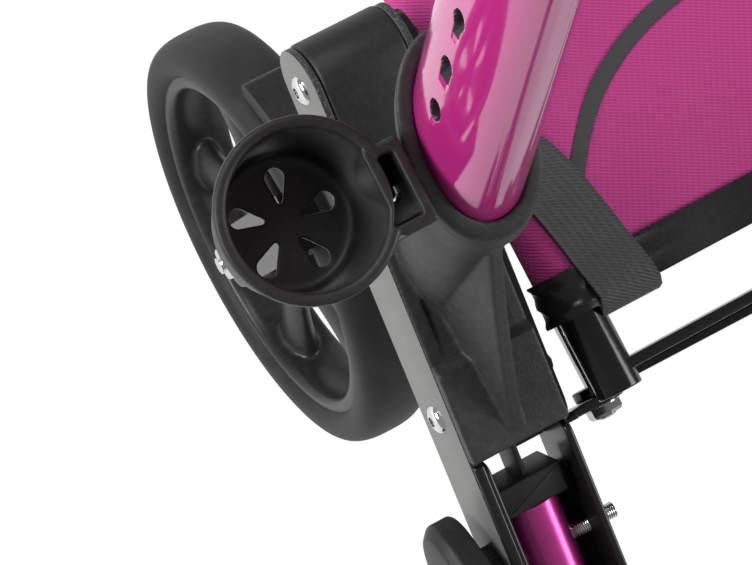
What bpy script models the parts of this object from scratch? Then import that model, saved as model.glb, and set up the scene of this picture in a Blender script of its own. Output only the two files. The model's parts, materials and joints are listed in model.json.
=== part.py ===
"""Folding rollator with an X-brace: two side frames, four wheels, seat sling and height-adjustable handles.

World frame: +Z up, +Y towards the front wheels, +X to the user's right.
A side frame is drawn in its own side plane as (y, z) and mirrored by the sign of its side.
"""
import math

import bmesh
import bpy
from mathutils import Matrix, Vector

for old in list(bpy.data.objects):
    bpy.data.objects.remove(old, do_unlink=True)

# Gaps and fits
GAP = 0.0003              # left between faces that touch
RUNNING = 0.0006          # radial clearance of what turns or slides
SIDES = {"right": 1, "left": -1}

# Side frame
BAR_X = 0.275             # middle of a side bar, from the middle of the rollator
BAR_TILT = math.radians(18)
FRONT_BOLT = (-0.109, 0.380)
REAR_BOLT_BACK = 0.189    # along the bar, behind the front bolt
PLATE_HEIGHT = 0.044
PLATE_THICK = 0.004
PLATE_CORNER = 0.003      # cut off the front corners of the plates
PLATE_EDGE = 0.0007       # bevel round the plates' faces
PLATE_GAP = 0.050         # between the two plates of a bar
OUTER_PLATE_FRONT = 0.150
INNER_PLATE_FRONT = -0.045
BOLT_R = 0.004
BOLT_HEAD_R = 0.008
BOLT_HEAD = 0.005
LEG_KNOB_R = 0.034
LEG_KNOB_HEIGHT = 0.030
CLAMP_STUD_OUT = 0.015    # thread that stands out of the channel's inner side
REAR_BLOCK_LENGTH = 0.060
REAR_BLOCK_STEP = 0.012    # top of the lower front of the block, which holds the rear leg

# Hub casting and channel
CASTING_BACK = -0.104
CASTING_FRONT = 0.022
CASTING_LOW = -0.030
CASTING_HIGH = 0.030
SOCKET_LENGTH = 0.169      # along the upright, to the middle of the mouth
SOCKET_FOOT = 0.022        # half width, across the rollator
SOCKET_DROP = 0.005        # how far the socket starts below the upright's foot
SOCKET_MOUTH = 0.032
MOUTH_SLANT = math.atan(0.8)  # the mouth leans down towards the front
OVAL = 1.40               # depth of the socket and its cover over their width
FIN_HALF = 0.007           # half width of the rib from the socket down to the casting's front end
FIN_TOP = 0.120            # along the upright, where the rib leaves the socket
CHANNEL_START = 0.026
CHANNEL_END = 0.150
CHANNEL_WALL = 0.004
CHANNEL_HALF_HEIGHT = 0.019

# Legs
FRONT_LEG_R = 0.0155
FRONT_LEG_START = 0.062
FRONT_LEG_WALL = 0.002
REAR_LEG_WIDTH = 0.026
REAR_LEG_DEPTH = 0.030
REAR_LEG_WALL = 0.0025
REAR_LEG_TOP = 0.424
REAR_LEG_INSET = 0.008     # from the middle of the bar towards the middle of the rollator

# Wheels
WHEEL_X = 0.262
REAR_WHEEL_R = 0.127
FRONT_WHEEL_R = 0.102
REAR_AXLE_Y = -0.235
FRONT_AXLE_Y = 0.262
CASTOR_TRAIL = 0.035
TYRE_WIDTH = 0.044
RIM_DEPTH = 0.020         # tread to rim
RIM_WALL = 0.006
HUB_R = 0.019
HUB_LENGTH = 0.054
AXLE_R = 0.005
AXLE_NUT_R = 0.011
AXLE_NUT = 0.008
SPOKES = 5
WHEEL_STEPS = 36
SPOKE_WIDTH = 0.026
SPOKE_THICK = 0.012
BLADE_THICK = 0.005
BLADE_WIDTH = 0.034
BLADE_GAP = 0.062
CROWN_CLEARANCE = 0.010   # tread to fork crown
CROWN_THICK = 0.012
STEM_R = 0.008
HEAD_R = 0.021
HEAD_LENGTH = 0.062
HEAD_ROOF = 0.006         # closed top of the castor head

# Uprights, handles and brakes
UPRIGHT_TILT = math.radians(73)
UPRIGHT_FOOT = (-0.180, 0.402)
UPRIGHT_R = 0.0165
UPRIGHT_WALL = 0.002
UPRIGHT_START = 0.012     # along it, above its foot
UPRIGHT_LENGTH = 0.482
SHELL_START = 0.120
SHELL_HALF_WIDTH = 0.0255
SHELL_WALL = 0.0025
HANDLE_R = 0.0125
HANDLE_INSIDE = 0.160
HANDLE_OUT = 0.012
HANDLE_BEND = 0.045
GRIP_R = 0.018
GRIP_LENGTH = 0.115
HANDLE_TRAVEL = 0.100
GRIP_STEM = 0.022          # bare tube between the bend and the grip
GRIP_PAST = 0.004          # grip behind the tube's end
GRIP_CAP = 0.0035          # closed end of the grip
GRIP_ROUND = 0.006         # rounding at the grip's two ends
LEVER_LENGTH = 0.105
LEVER_WIDTH = 0.014
LEVER_HALF = 0.0055
LEVER_FALL = 0.012         # the lever's end below its pivot
LEVER_DROP = 0.036         # the lever's pivot below the handle tube
CLAMP_GAP = 0.006          # between the grip and the lever's clamp
CLAMP_THICK = 0.012
CLAMP_HALF = 0.017
CLAMP_DROP = 0.030
KNOB_STUD_R = 0.0037
HEIGHT_KNOB_T = UPRIGHT_LENGTH - 0.018  # along the upright
HEIGHT_KNOB_R = 0.014
HEIGHT_KNOB_HEIGHT = 0.016
SHOE_WIDTH = 0.030
SHOE_HALF = 0.006
SHOE_REACH = (-0.045, -0.029)  # from the shoe's pin to the end of its arm, back and up
SHOE_BACK = 0.012          # pin behind the fork crown
EAR_THICK = 0.004
PIN_R = 0.003
EAR_INSET = 0.001          # how far an ear's faces lie inside the crown's

# Backrest strap
STRAP_END = HEIGHT_KNOB_T - 0.020  # along the upright
STRAP_SLEEVE_LENGTH = 0.030
STRAP_START = STRAP_END - STRAP_SLEEVE_LENGTH
SHELL_END = STRAP_START - 0.004  # top of the cover
STRAP_HEIGHT = 0.034
STRAP_THICK = 0.008
STRAP_BOW = 0.055
STRAP_SLEEVE = 0.003

# Brace and seat
PIVOT_X = 0.213
PIVOT_Z = 0.350
RAIL_X = 0.217
RAIL_Z = 0.405
RAIL_R = 0.0125
RAIL_WALL = 0.002
RAIL_FRONT = -0.078
RAIL_BACK = -0.350
ARM_YS = (-0.083, -0.268)
ARM_THICK = 0.006
ARM_HEIGHT = 0.022
PIVOT_NUT_R = 0.010
PIVOT_NUT = 0.008
BRACKET_THICK = 0.005
BRACKET_HEIGHT = 0.026
BRACKET_WEB = 0.004
BRACKET_WEB_HALF = 0.016
BRACKET_DROP = 0.008       # width of the strip from the web down to an ear
SLING_THICK = 0.004
SLING_SAG = 0.018
SLING_HEM = math.radians(100)  # how far a hem goes round its rail, from the top
SLING_FRONT = -0.125
SLING_BACK = -0.342

# Cup holder
CUP_CENTRE = (0.368, -0.231)
CUP_RIM_Z = 0.576
CUP_RIM_R = 0.046
CUP_FLOOR_R = 0.034
CUP_DEPTH = 0.052
CUP_WALL = 0.0025
CUP_LIP = 0.006
CUP_LIP_OUT = 0.0035       # how far the lip stands out of the wall
CUP_SLOTS = 5
CUP_FLANGE_Y = (-0.243, -0.199)
CUP_FLANGE_Z = (0.500, 0.574)
CUP_FLANGE_WALL = 0.004
CUP_SCREW_Z = 0.522
SCREW_R = 0.002
BOSS_X = 0.312             # flat face of the casting's boss, which the cup holder bolts to
BOSS_Z = (0.505, 0.545)

BLACK = (0.018, 0.018, 0.019, 1)
GREY_STEEL = (0.42, 0.42, 0.41, 1)
MAGENTA = (0.52, 0.03, 0.25, 1)
CHROME = (0.75, 0.75, 0.76, 1)
RUBBER = (0.03, 0.03, 0.031, 1)

parts = bpy.data.collections.new("folding_rollator")
cutters = bpy.data.collections.new("cutters")
bpy.context.scene.collection.children.link(parts)
bpy.context.scene.collection.children.link(cutters)


def material(name, colour, roughness, metallic=0.0):
    """One Principled material, made once and found again by name."""
    found = bpy.data.materials.get(name)
    if found:
        return found
    made = bpy.data.materials.new(name)
    made.use_nodes = True
    shader = made.node_tree.nodes["Principled BSDF"]
    shader.inputs["Base Color"].default_value = colour
    shader.inputs["Roughness"].default_value = roughness
    shader.inputs["Metallic"].default_value = metallic
    return made


def black_plastic():
    return material("black_plastic", BLACK, 0.45)


def black_paint():
    return material("black_paint", BLACK, 0.30)


def plate_steel():
    return material("plate_steel", GREY_STEEL, 0.35, 0.6)


def magenta_gloss():
    return material("magenta_gloss", MAGENTA, 0.12)


def magenta_cloth():
    return material("magenta_cloth", MAGENTA, 0.85)


def chrome():
    return material("chrome", CHROME, 0.10, 1.0)


def rubber():
    return material("rubber", RUBBER, 0.55)


def add(name, mesh, finish, origin=(0, 0, 0), collection=parts):
    """Link a mesh drawn in world coordinates as an object whose origin is at the given point."""
    origin = Vector(origin)
    mesh.transform(Matrix.Translation(-origin))
    face_outwards(mesh)
    obj = bpy.data.objects.new(name, mesh)
    obj.location = origin
    if finish:
        mesh.materials.append(finish)
    mesh.shade_smooth()
    mesh.set_sharp_from_angle(angle=math.radians(35))
    collection.objects.link(obj)
    return obj


def to_mesh(name, bm):
    bmesh.ops.recalc_face_normals(bm, faces=bm.faces)
    mesh = bpy.data.meshes.new(name)
    bm.to_mesh(mesh)
    bm.free()
    return mesh


def aim(direction):
    """The rotation that turns +Z into a direction."""
    return Vector(direction).normalized().to_track_quat("Z", "Y").to_matrix().to_4x4()


def rod(bm, start, end, radius, end_radius=None, segments=20):
    """A straight round bar, or a cone, between two points."""
    start, end = Vector(start), Vector(end)
    spread = radius if end_radius is None else end_radius
    placed = Matrix.Translation((start + end) / 2) @ aim(end - start)
    bmesh.ops.create_cone(bm, cap_ends=True, segments=segments, radius1=radius, radius2=spread,
                          depth=(end - start).length, matrix=placed)


def block(bm, low, high, placed=Matrix.Identity(4)):
    """A box between two corners, placed by a matrix."""
    low, high = Vector(low), Vector(high)
    size = high - low
    scaled = Matrix.Diagonal((*size, 1))
    bmesh.ops.create_cube(bm, size=1, matrix=placed @ Matrix.Translation((low + high) / 2) @ scaled)


def outline_plate(name, points, thickness, placed, finish, origin=(0, 0, 0)):
    """A flat plate: a filled 2D curve, extruded to its thickness and placed by a matrix."""
    curve = bpy.data.curves.new(name, "CURVE")
    curve.dimensions = "2D"
    curve.fill_mode = "BOTH"
    curve.extrude = thickness / 2
    spline = curve.splines.new("POLY")
    spline.points.add(len(points) - 1)
    for point, (a, b) in zip(spline.points, points):
        point.co = (a, b, 0, 1)
    spline.use_cyclic_u = True
    holder = bpy.data.objects.new(name, curve)
    parts.objects.link(holder)
    mesh = meshed(holder)
    mesh.transform(placed)
    return add(name, mesh, finish, origin)


def meshed(holder):
    """The closed mesh of a curve object, which is removed."""
    graph = bpy.context.evaluated_depsgraph_get()
    mesh = bpy.data.meshes.new_from_object(holder.evaluated_get(graph))
    mesh.transform(holder.matrix_world)
    bpy.data.objects.remove(holder, do_unlink=True)
    bm = bmesh.new()
    bm.from_mesh(mesh)
    bmesh.ops.remove_doubles(bm, verts=bm.verts, dist=0.00002)
    bmesh.ops.recalc_face_normals(bm, faces=bm.faces)
    bm.to_mesh(mesh)
    bm.free()
    return mesh


def bent_tube(name, points, radius, finish, origin=(0, 0, 0), resolution=3):
    """A tube along a list of points, as a curve with a round bevel and filled caps."""
    curve = bpy.data.curves.new(name, "CURVE")
    curve.dimensions = "3D"
    curve.bevel_depth = radius
    curve.bevel_resolution = resolution
    curve.use_fill_caps = True
    spline = curve.splines.new("POLY")
    spline.points.add(len(points) - 1)
    for point, place in zip(spline.points, points):
        point.co = (*place, 1)
    holder = bpy.data.objects.new(name, curve)
    parts.objects.link(holder)
    return add(name, meshed(holder), finish, origin)


def turned(name, profile, axis_point, direction, finish, steps=40, collection=parts):
    """A turned piece: an (r, z) profile, outer side first from top to bottom, with a Screw modifier."""
    bm = bmesh.new()
    corners = [bm.verts.new((r, 0, z)) for r, z in profile]
    touches_axis = profile[0][0] == 0
    followers = corners[1:] if touches_axis else corners[1:] + corners[:1]
    for first, second in zip(corners, followers):
        bm.edges.new((first, second))
    mesh = bpy.data.meshes.new(name)
    bm.to_mesh(mesh)
    bm.free()
    obj = bpy.data.objects.new(name, mesh)
    collection.objects.link(obj)
    obj.matrix_world = Matrix.Translation(axis_point) @ aim(direction)
    screw = obj.modifiers.new("turn", "SCREW")
    screw.steps = screw.render_steps = steps
    screw.use_merge_vertices = True
    screw.merge_threshold = 0.00005
    screw.use_normal_calculate = True
    if finish:
        mesh.materials.append(finish)
    return obj


def face_outwards(mesh):
    """Turn every face of a closed mesh outwards."""
    bm = bmesh.new()
    bm.from_mesh(mesh)
    bmesh.ops.recalc_face_normals(bm, faces=bm.faces)
    bm.to_mesh(mesh)
    bm.free()


def bake(obj):
    """Apply an object's modifiers, so that it can be cut or joined."""
    graph = bpy.context.evaluated_depsgraph_get()
    baked = bpy.data.meshes.new_from_object(obj.evaluated_get(graph))
    face_outwards(baked)
    obj.modifiers.clear()
    obj.data = baked
    return obj


def bevel(obj, width):
    """Break an object's sharp edges."""
    step = obj.modifiers.new("edges", "BEVEL")
    step.width = width
    step.segments = 1
    step.limit_method = "ANGLE"
    step.angle_limit = math.radians(50)
    bake(obj)


def combine(obj, tool, operation):
    """Cut a tool out of an object, or join it on, and remove the tool."""
    step = obj.modifiers.new(operation.lower(), "BOOLEAN")
    step.operation = operation
    step.object = tool
    bake(obj)
    bpy.data.objects.remove(tool, do_unlink=True)
    return obj


def tool_of(bm):
    """A hidden object for joining or cutting."""
    tool = add("cutter", to_mesh("cutter", bm), None, collection=cutters)
    tool.hide_render = True
    tool.display_type = "WIRE"
    return tool


def tool_rod(start, end, radius, end_radius=None, segments=20):
    bm = bmesh.new()
    rod(bm, start, end, radius, end_radius, segments)
    return tool_of(bm)


def tool_block(low, high, placed=Matrix.Identity(4)):
    bm = bmesh.new()
    block(bm, low, high, placed)
    return tool_of(bm)


def drill(obj, start, end, radius):
    return combine(obj, tool_rod(start, end, radius + GAP, segments=20 if radius > 2 * BOLT_R else 12), "DIFFERENCE")


def along_bar(side, s, h=0.0, x=0.0):
    """A point of a side bar: s forward along it from the front bolt, h square to it, x outwards."""
    y = FRONT_BOLT[0] + s * math.cos(BAR_TILT) + h * math.sin(BAR_TILT)
    z = FRONT_BOLT[1] - s * math.sin(BAR_TILT) + h * math.cos(BAR_TILT)
    return Vector((side * (BAR_X + x), y, z))


def bar_matrix(side):
    """Bar coordinates (outwards, along, square) to world coordinates."""
    out = Vector((side, 0, 0))
    forward = along_bar(side, 1) - along_bar(side, 0)
    upward = along_bar(side, 0, 1) - along_bar(side, 0)
    turn = Matrix((out, forward, upward)).transposed().to_4x4()
    return Matrix.Translation(along_bar(side, 0)) @ turn


def along_upright(side, t, forward=0.0, x=0.0):
    """A point of an upright: t up along it, forward square to it, x outwards."""
    y = UPRIGHT_FOOT[0] - t * math.cos(UPRIGHT_TILT) + forward * math.sin(UPRIGHT_TILT)
    z = UPRIGHT_FOOT[1] + t * math.sin(UPRIGHT_TILT) + forward * math.cos(UPRIGHT_TILT)
    return Vector((side * (BAR_X + x), y, z))


def upright_matrix(side):
    """Upright coordinates (outwards, forwards, up along it) to world coordinates."""
    out = Vector((side, 0, 0))
    forward = along_upright(side, 0, 1) - along_upright(side, 0)
    upward = along_upright(side, 1) - along_upright(side, 0)
    turn = Matrix((out, forward, upward)).transposed().to_4x4()
    return Matrix.Translation(along_upright(side, 0)) @ turn


def bolt(name, start, end, shank=BOLT_R, head=BOLT_HEAD_R, height=BOLT_HEAD):
    """A button-headed bolt with its nut: the heads stand outside the two given points."""
    start, end = Vector(start), Vector(end)
    grip = (end - start).length
    profile = [(0, grip + height), (0.6 * head, grip + height), (head, grip + 0.4 * height), (head, grip + GAP),
               (shank, grip + GAP), (shank, -GAP), (head, -GAP), (head, -0.7 * height), (0, -0.7 * height)]
    return bake(turned(name, profile, start, end - start, chrome(), steps=12))


def rounded_bar(start, end, half, steps=8):
    """The outline of a flat bar whose ends are half circles."""
    (ax, ay), (bx, by) = start, end
    heading = math.atan2(by - ay, bx - ax)
    points = []
    for (x, y), turn in (((bx, by), heading - math.pi / 2), ((ax, ay), heading + math.pi / 2)):
        for step in range(steps + 1):
            angle = turn + math.pi * step / steps
            points.append((x + half * math.cos(angle), y + half * math.sin(angle)))
    return points


def plate_matrix(side, x, facing=1):
    """Outline (along, square) of a side bar's plate, its front face outwards or inwards, to world coordinates."""
    swap = Matrix(((0, 0, facing, x), (1, 0, 0, 0), (0, 1, 0, 0), (0, 0, 0, 1)))
    return bar_matrix(side) @ swap


def lateral_matrix(y):
    """Outline (x, z) with its thickness along Y."""
    return Matrix(((1, 0, 0, 0), (0, 0, 1, y), (0, 1, 0, 0), (0, 0, 0, 1)))


def fore_aft_matrix(x):
    """Outline (y, z) with its thickness along X."""
    return Matrix(((0, 0, 1, x), (1, 0, 0, 0), (0, 1, 0, 0), (0, 0, 0, 1)))


def bar_bolt_ends(side, s, h=0.0):
    reach = PLATE_GAP / 2 + PLATE_THICK
    return along_bar(side, s, h, -reach), along_bar(side, s, h, reach)


CLAMP_S = 0.090
BAR_BOLTS = (-REAR_BOLT_BACK, 0.0)


def bar_plates(tag, side):
    """The outer plate runs the whole bar; the inner one ends at the skirt of the hub casting."""
    half = PLATE_HEIGHT / 2
    for name, out, front, bolts in (("outer_plate", 1, OUTER_PLATE_FRONT, BAR_BOLTS + (CLAMP_S,)),
                                    ("inner_plate", -1, INNER_PLATE_FRONT, BAR_BOLTS[:1])):
        cut = PLATE_CORNER
        points = [(front - cut, -half), (front, cut - half), (front, half - cut), (front - cut, half)] + round_back(half)
        centre_x = out * (PLATE_GAP / 2 + PLATE_THICK / 2)
        placed = plate_matrix(side, centre_x, side * out)
        plate = outline_plate(f"{name}_{tag}", points, PLATE_THICK, placed, plate_steel())
        bevel(plate, PLATE_EDGE)
        for s in bolts:
            drill(plate, *bar_bolt_ends(side, s), BOLT_R)


def round_back(half):
    """The round back end that the plates and the block share, from its top round to its bottom."""
    arc = rounded_bar((-REAR_BOLT_BACK, 0), (0, 0), half, steps=7)
    return arc[len(arc) // 2:]


def rear_block(tag, side):
    """The block between the plates at the back end, with a lower front whose socket holds the rear leg."""
    half = PLATE_HEIGHT / 2
    step, front = -REAR_BOLT_BACK - half + REAR_BLOCK_LENGTH, CASTING_BACK - GAP
    outline = [(front, -half), (front, REAR_BLOCK_STEP), (step, REAR_BLOCK_STEP), (step, half)] + round_back(half)
    piece = outline_plate(f"rear_block_{tag}", outline, PLATE_GAP - 2 * GAP, plate_matrix(side, 0), black_plastic())
    drill(piece, *bar_bolt_ends(side, BAR_BOLTS[0]), BOLT_R)
    combine(piece, tool_block(*rear_leg_corners(side, REAR_WHEEL_R, GAP)), "DIFFERENCE")


def rear_leg_corners(side, foot, spare=0.0):
    """The low and high corners of the square rear leg, from a height up to its top, with some room round it."""
    x = side * (BAR_X - REAR_LEG_INSET)
    half = Vector((REAR_LEG_WIDTH / 2 + spare, REAR_LEG_DEPTH / 2 + spare, 0))
    return Vector((x, REAR_AXLE_Y, foot)) - half, Vector((x, REAR_AXLE_Y, REAR_LEG_TOP + spare)) + half


def oval_cone(side, start, end, foot, mouth, segments=24):
    """A cutter or body about the upright, oval in section, from one height along it to another."""
    bm = bmesh.new()
    placed = upright_matrix(side) @ Matrix.Translation((0, 0, (start + end) / 2)) @ Matrix.Diagonal((1, OVAL, 1, 1))
    bmesh.ops.create_cone(bm, cap_ends=True, segments=segments, radius1=foot, radius2=mouth,
                          depth=end - start, matrix=placed)
    return bm


def oval_tool(side, start, end, foot, mouth):
    return tool_of(oval_cone(side, start, end, foot, mouth))


SOCKET_TOP = SOCKET_LENGTH + SOCKET_MOUTH * OVAL * math.tan(MOUTH_SLANT)


def above_mouth(side):
    """A cutter for all that lies above the slanted mouth of the socket."""
    lean = Matrix.Translation((0, 0, SOCKET_LENGTH)) @ Matrix.Rotation(-MOUTH_SLANT, 4, "X")
    reach = SOCKET_TOP
    return tool_block((-reach, -reach, 0), (reach, reach, reach), upright_matrix(side) @ lean)


def fin(side):
    """The rib down the front of the socket to the casting's front end, drawn in the side plane."""
    top, foot = along_upright(side, FIN_TOP), along_bar(side, CASTING_FRONT - GAP, CASTING_HIGH - FIN_HALF)
    root = along_upright(side, 0)
    front = along_upright(side, FIN_TOP, SOCKET_FOOT * OVAL)
    outline = [(place.y, place.z) for place in (root, foot, front, top)]
    return outline_plate("fin", outline, 2 * FIN_HALF, fore_aft_matrix(side * BAR_X), None)


def hub_casting(tag, side):
    """The moulded hub on the bar, with the oval socket that holds the upright and its cover."""
    half, skirt, skirt_back = PLATE_GAP / 2 - GAP, PLATE_GAP / 2 + PLATE_THICK, INNER_PLATE_FRONT + GAP
    plan = [(-half, CASTING_BACK), (half, CASTING_BACK), (half, CASTING_FRONT), (-skirt, CASTING_FRONT),
            (-skirt, skirt_back), (-half, skirt_back)]
    middle = Matrix.Translation((0, 0, (CASTING_LOW + CASTING_HIGH) / 2))
    hub = outline_plate(f"hub_casting_{tag}", plan, CASTING_HIGH - CASTING_LOW, bar_matrix(side) @ middle,
                        black_plastic())
    combine(hub, oval_tool(side, -SOCKET_DROP, SOCKET_TOP, SOCKET_FOOT, SOCKET_MOUTH), "UNION")
    behind = (-skirt, CASTING_BACK - SOCKET_TOP, -SOCKET_TOP), (skirt, CASTING_BACK, REAR_BLOCK_STEP + GAP)
    combine(hub, tool_block(*behind, bar_matrix(side)), "DIFFERENCE")
    combine(hub, fin(side), "UNION")
    combine(hub, above_mouth(side), "DIFFERENCE")
    boss_ends = sorted((side * (BAR_X + SOCKET_FOOT / 2), side * (BOSS_X - GAP)))
    boss = tool_block((boss_ends[0], CUP_FLANGE_Y[0], BOSS_Z[0]), (boss_ends[1], CUP_FLANGE_Y[1], BOSS_Z[1]))
    combine(hub, boss, "UNION")
    pocket = SHELL_HALF_WIDTH + GAP
    combine(hub, oval_tool(side, SHELL_START - GAP, SOCKET_TOP + SHELL_WALL, pocket, pocket), "DIFFERENCE")
    drill(hub, along_upright(side, UPRIGHT_START - GAP), along_upright(side, SHELL_START + SHELL_WALL), UPRIGHT_R)
    drill(hub, *bar_bolt_ends(side, BAR_BOLTS[1]), BOLT_R)


def front_channel(tag, side):
    """An open channel ahead of the hub that holds the front leg."""
    outer, wall, low, high = PLATE_GAP / 2 - GAP, CHANNEL_WALL, -CHANNEL_HALF_HEIGHT, CHANNEL_HALF_HEIGHT
    inner, floor = -PLATE_GAP / 2 - PLATE_THICK, low + CHANNEL_WALL / 2
    points = [(inner, high), (inner, low), (outer, low), (outer, high),
              (outer - wall, high), (outer - wall, floor), (inner + wall, floor), (inner + wall, high)]
    swap = Matrix(((1, 0, 0, 0), (0, 0, 1, (CHANNEL_START + CHANNEL_END) / 2), (0, 1, 0, 0), (0, 0, 0, 1)))
    channel = outline_plate(f"front_channel_{tag}", points, CHANNEL_END - CHANNEL_START, bar_matrix(side) @ swap,
                            black_paint())
    drill(channel, *bar_bolt_ends(side, CLAMP_S), BOLT_R)


REAR_CROWN_Z = 2 * REAR_WHEEL_R + CROWN_CLEARANCE
STEM_Y = FRONT_AXLE_Y + CASTOR_TRAIL
CROWN_Z = 2 * FRONT_WHEEL_R + CROWN_CLEARANCE
HEAD_LOW = CROWN_Z + CROWN_THICK + RUNNING
LEG_END_S = (STEM_Y - FRONT_BOLT[0]) / math.cos(BAR_TILT) - HEAD_R / 2


def front_leg(tag, side):
    """The round front leg in the channel, welded to the castor head that its front end is cut to."""
    bm = bmesh.new()
    rod(bm, along_bar(side, FRONT_LEG_START), along_bar(side, LEG_END_S), FRONT_LEG_R, segments=24)
    leg = add(f"front_leg_{tag}", to_mesh("leg", bm), material("magenta_metal", MAGENTA, 0.25, 0.4))
    bore = FRONT_LEG_R - FRONT_LEG_WALL
    drill(leg, along_bar(side, FRONT_LEG_START - FRONT_LEG_WALL), along_bar(side, LEG_END_S - 2 * HEAD_R), bore)
    x = side * WHEEL_X
    combine(leg, tool_rod((x, STEM_Y, HEAD_LOW), (x, STEM_Y, HEAD_LOW + HEAD_LENGTH), HEAD_R, segments=28), "UNION")
    drill(leg, (x, STEM_Y, HEAD_LOW - HEAD_ROOF), (x, STEM_Y, HEAD_LOW + HEAD_LENGTH - HEAD_ROOF), STEM_R + RUNNING)
    drill(leg, *bar_bolt_ends(side, CLAMP_S), BOLT_R)


def fork_blades(name, x, axle, crown_y, crown_z, origin):
    """A crown plate and two flat blades, joined into one solid and drilled for the axle."""
    half = BLADE_WIDTH / 2
    reach = BLADE_GAP / 2 + BLADE_THICK
    bm = bmesh.new()
    proud = reach + GAP
    block(bm, (x - proud, crown_y - half, crown_z), (x + proud, crown_y + half, crown_z + CROWN_THICK))
    fork = add(name, to_mesh(name, bm), black_paint(), origin)
    for blade_side in (-1, 1):
        centre_x = x + blade_side * (BLADE_GAP / 2 + BLADE_THICK / 2)
        blade = outline_plate("blade", rounded_bar(axle, (crown_y, crown_z - half + CROWN_THICK / 2), half),
                              BLADE_THICK, fore_aft_matrix(centre_x), black_paint())
        combine(fork, blade, "UNION")
    drill(fork, (x - BLADE_GAP, *axle), (x + BLADE_GAP, *axle), AXLE_R)
    return fork


def rear_leg(tag, side):
    """The square rear leg on the fork of the rear wheel, with two ears behind the crown for the brake shoe."""
    x = side * WHEEL_X
    leg = fork_blades(f"rear_leg_{tag}", x, (REAR_AXLE_Y, REAR_WHEEL_R), REAR_AXLE_Y, REAR_CROWN_Z, (0, 0, 0))
    combine(leg, tool_block(*rear_leg_corners(side, REAR_CROWN_Z + CROWN_THICK / 2)), "UNION")
    low, high = rear_leg_corners(side, REAR_CROWN_Z + CROWN_THICK + REAR_LEG_WALL)
    wall = Vector((REAR_LEG_WALL, REAR_LEG_WALL, 0))
    combine(leg, tool_block(low + wall, high - wall + Vector((0, 0, REAR_LEG_WALL))), "DIFFERENCE")
    pin = shoe_pin(side)
    for ear_side in (-1, 1):
        inner = x + ear_side * (SHOE_WIDTH / 2 + GAP)
        low, high = sorted((inner, inner + ear_side * EAR_THICK))
        heights = REAR_CROWN_Z + EAR_INSET, REAR_CROWN_Z + CROWN_THICK - EAR_INSET
        ear = tool_block((low, pin.y - CROWN_THICK / 2, heights[0]), (high, REAR_AXLE_Y, heights[1]))
        combine(leg, ear, "UNION")
    reach = Vector((BLADE_GAP, 0, 0))
    drill(leg, pin - reach, pin + reach, PIN_R)


def shoe_pin(side):
    return Vector((side * WHEEL_X, REAR_AXLE_Y - BLADE_WIDTH / 2 - SHOE_BACK, REAR_CROWN_Z + CROWN_THICK / 2))


def castor_fork(tag, side):
    """The swivelling front fork with its stem, on the stem's axis."""
    x = side * WHEEL_X
    origin = (x, STEM_Y, CROWN_Z)
    fork = fork_blades(f"castor_fork_{tag}", x, (FRONT_AXLE_Y, FRONT_WHEEL_R), STEM_Y, CROWN_Z, origin)
    stem = tool_rod((x, STEM_Y, CROWN_Z + CROWN_THICK / 2), (x, STEM_Y, HEAD_LOW + HEAD_LENGTH - 2 * HEAD_ROOF), STEM_R)
    combine(fork, stem, "UNION")


def wheel(tag, side, place, y, radius):
    """Tyre, spoked rim and axle, each turned about the axle."""
    centre = Vector((side * WHEEL_X, y, radius))
    half, rim_r = TYRE_WIDTH / 2, radius - RIM_DEPTH
    crown = [(radius, 0.35 * half), (radius, -0.35 * half), (radius - 0.005, -0.85 * half), (radius - 0.013, -half),
             (rim_r + GAP, -0.55 * half), (rim_r + GAP, 0.55 * half), (radius - 0.013, half),
             (radius - 0.005, 0.85 * half)]
    bake(turned(f"{place}_tyre_{tag}", crown[::-1], centre, (1, 0, 0), rubber(), steps=WHEEL_STEPS))
    ring = [(rim_r, half * 0.55), (rim_r, -half * 0.55), (rim_r - RIM_WALL, -half * 0.8), (rim_r - RIM_WALL, half * 0.8)]
    rim = bake(turned(f"{place}_rim_{tag}", ring[::-1], centre, (1, 0, 0), black_plastic(), steps=WHEEL_STEPS))
    bore = AXLE_R + RUNNING
    hub_half = HUB_LENGTH / 2
    hub = [(HUB_R, hub_half), (HUB_R, -hub_half), (bore, -hub_half), (bore, hub_half)]
    for spoke in range(SPOKES):
        turn = Matrix.Translation(centre) @ Matrix.Rotation(2 * math.pi * spoke / SPOKES, 4, "X")
        low = (-SPOKE_THICK / 2, -SPOKE_WIDTH / 2, HUB_R * 0.7)
        high = (SPOKE_THICK / 2, SPOKE_WIDTH / 2, rim_r - RIM_WALL / 2)
        combine(rim, tool_block(low, high, turn), "UNION")
    combine(rim, bake(turned("hub", hub[::-1], centre, (1, 0, 0), None, steps=16, collection=cutters)), "UNION")
    reach = Vector((BLADE_GAP / 2 + BLADE_THICK, 0, 0))
    bolt(f"{place}_axle_{tag}", centre - reach, centre + reach, AXLE_R, AXLE_NUT_R, AXLE_NUT)


HANDLE_TOP = UPRIGHT_LENGTH + HANDLE_OUT


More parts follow.
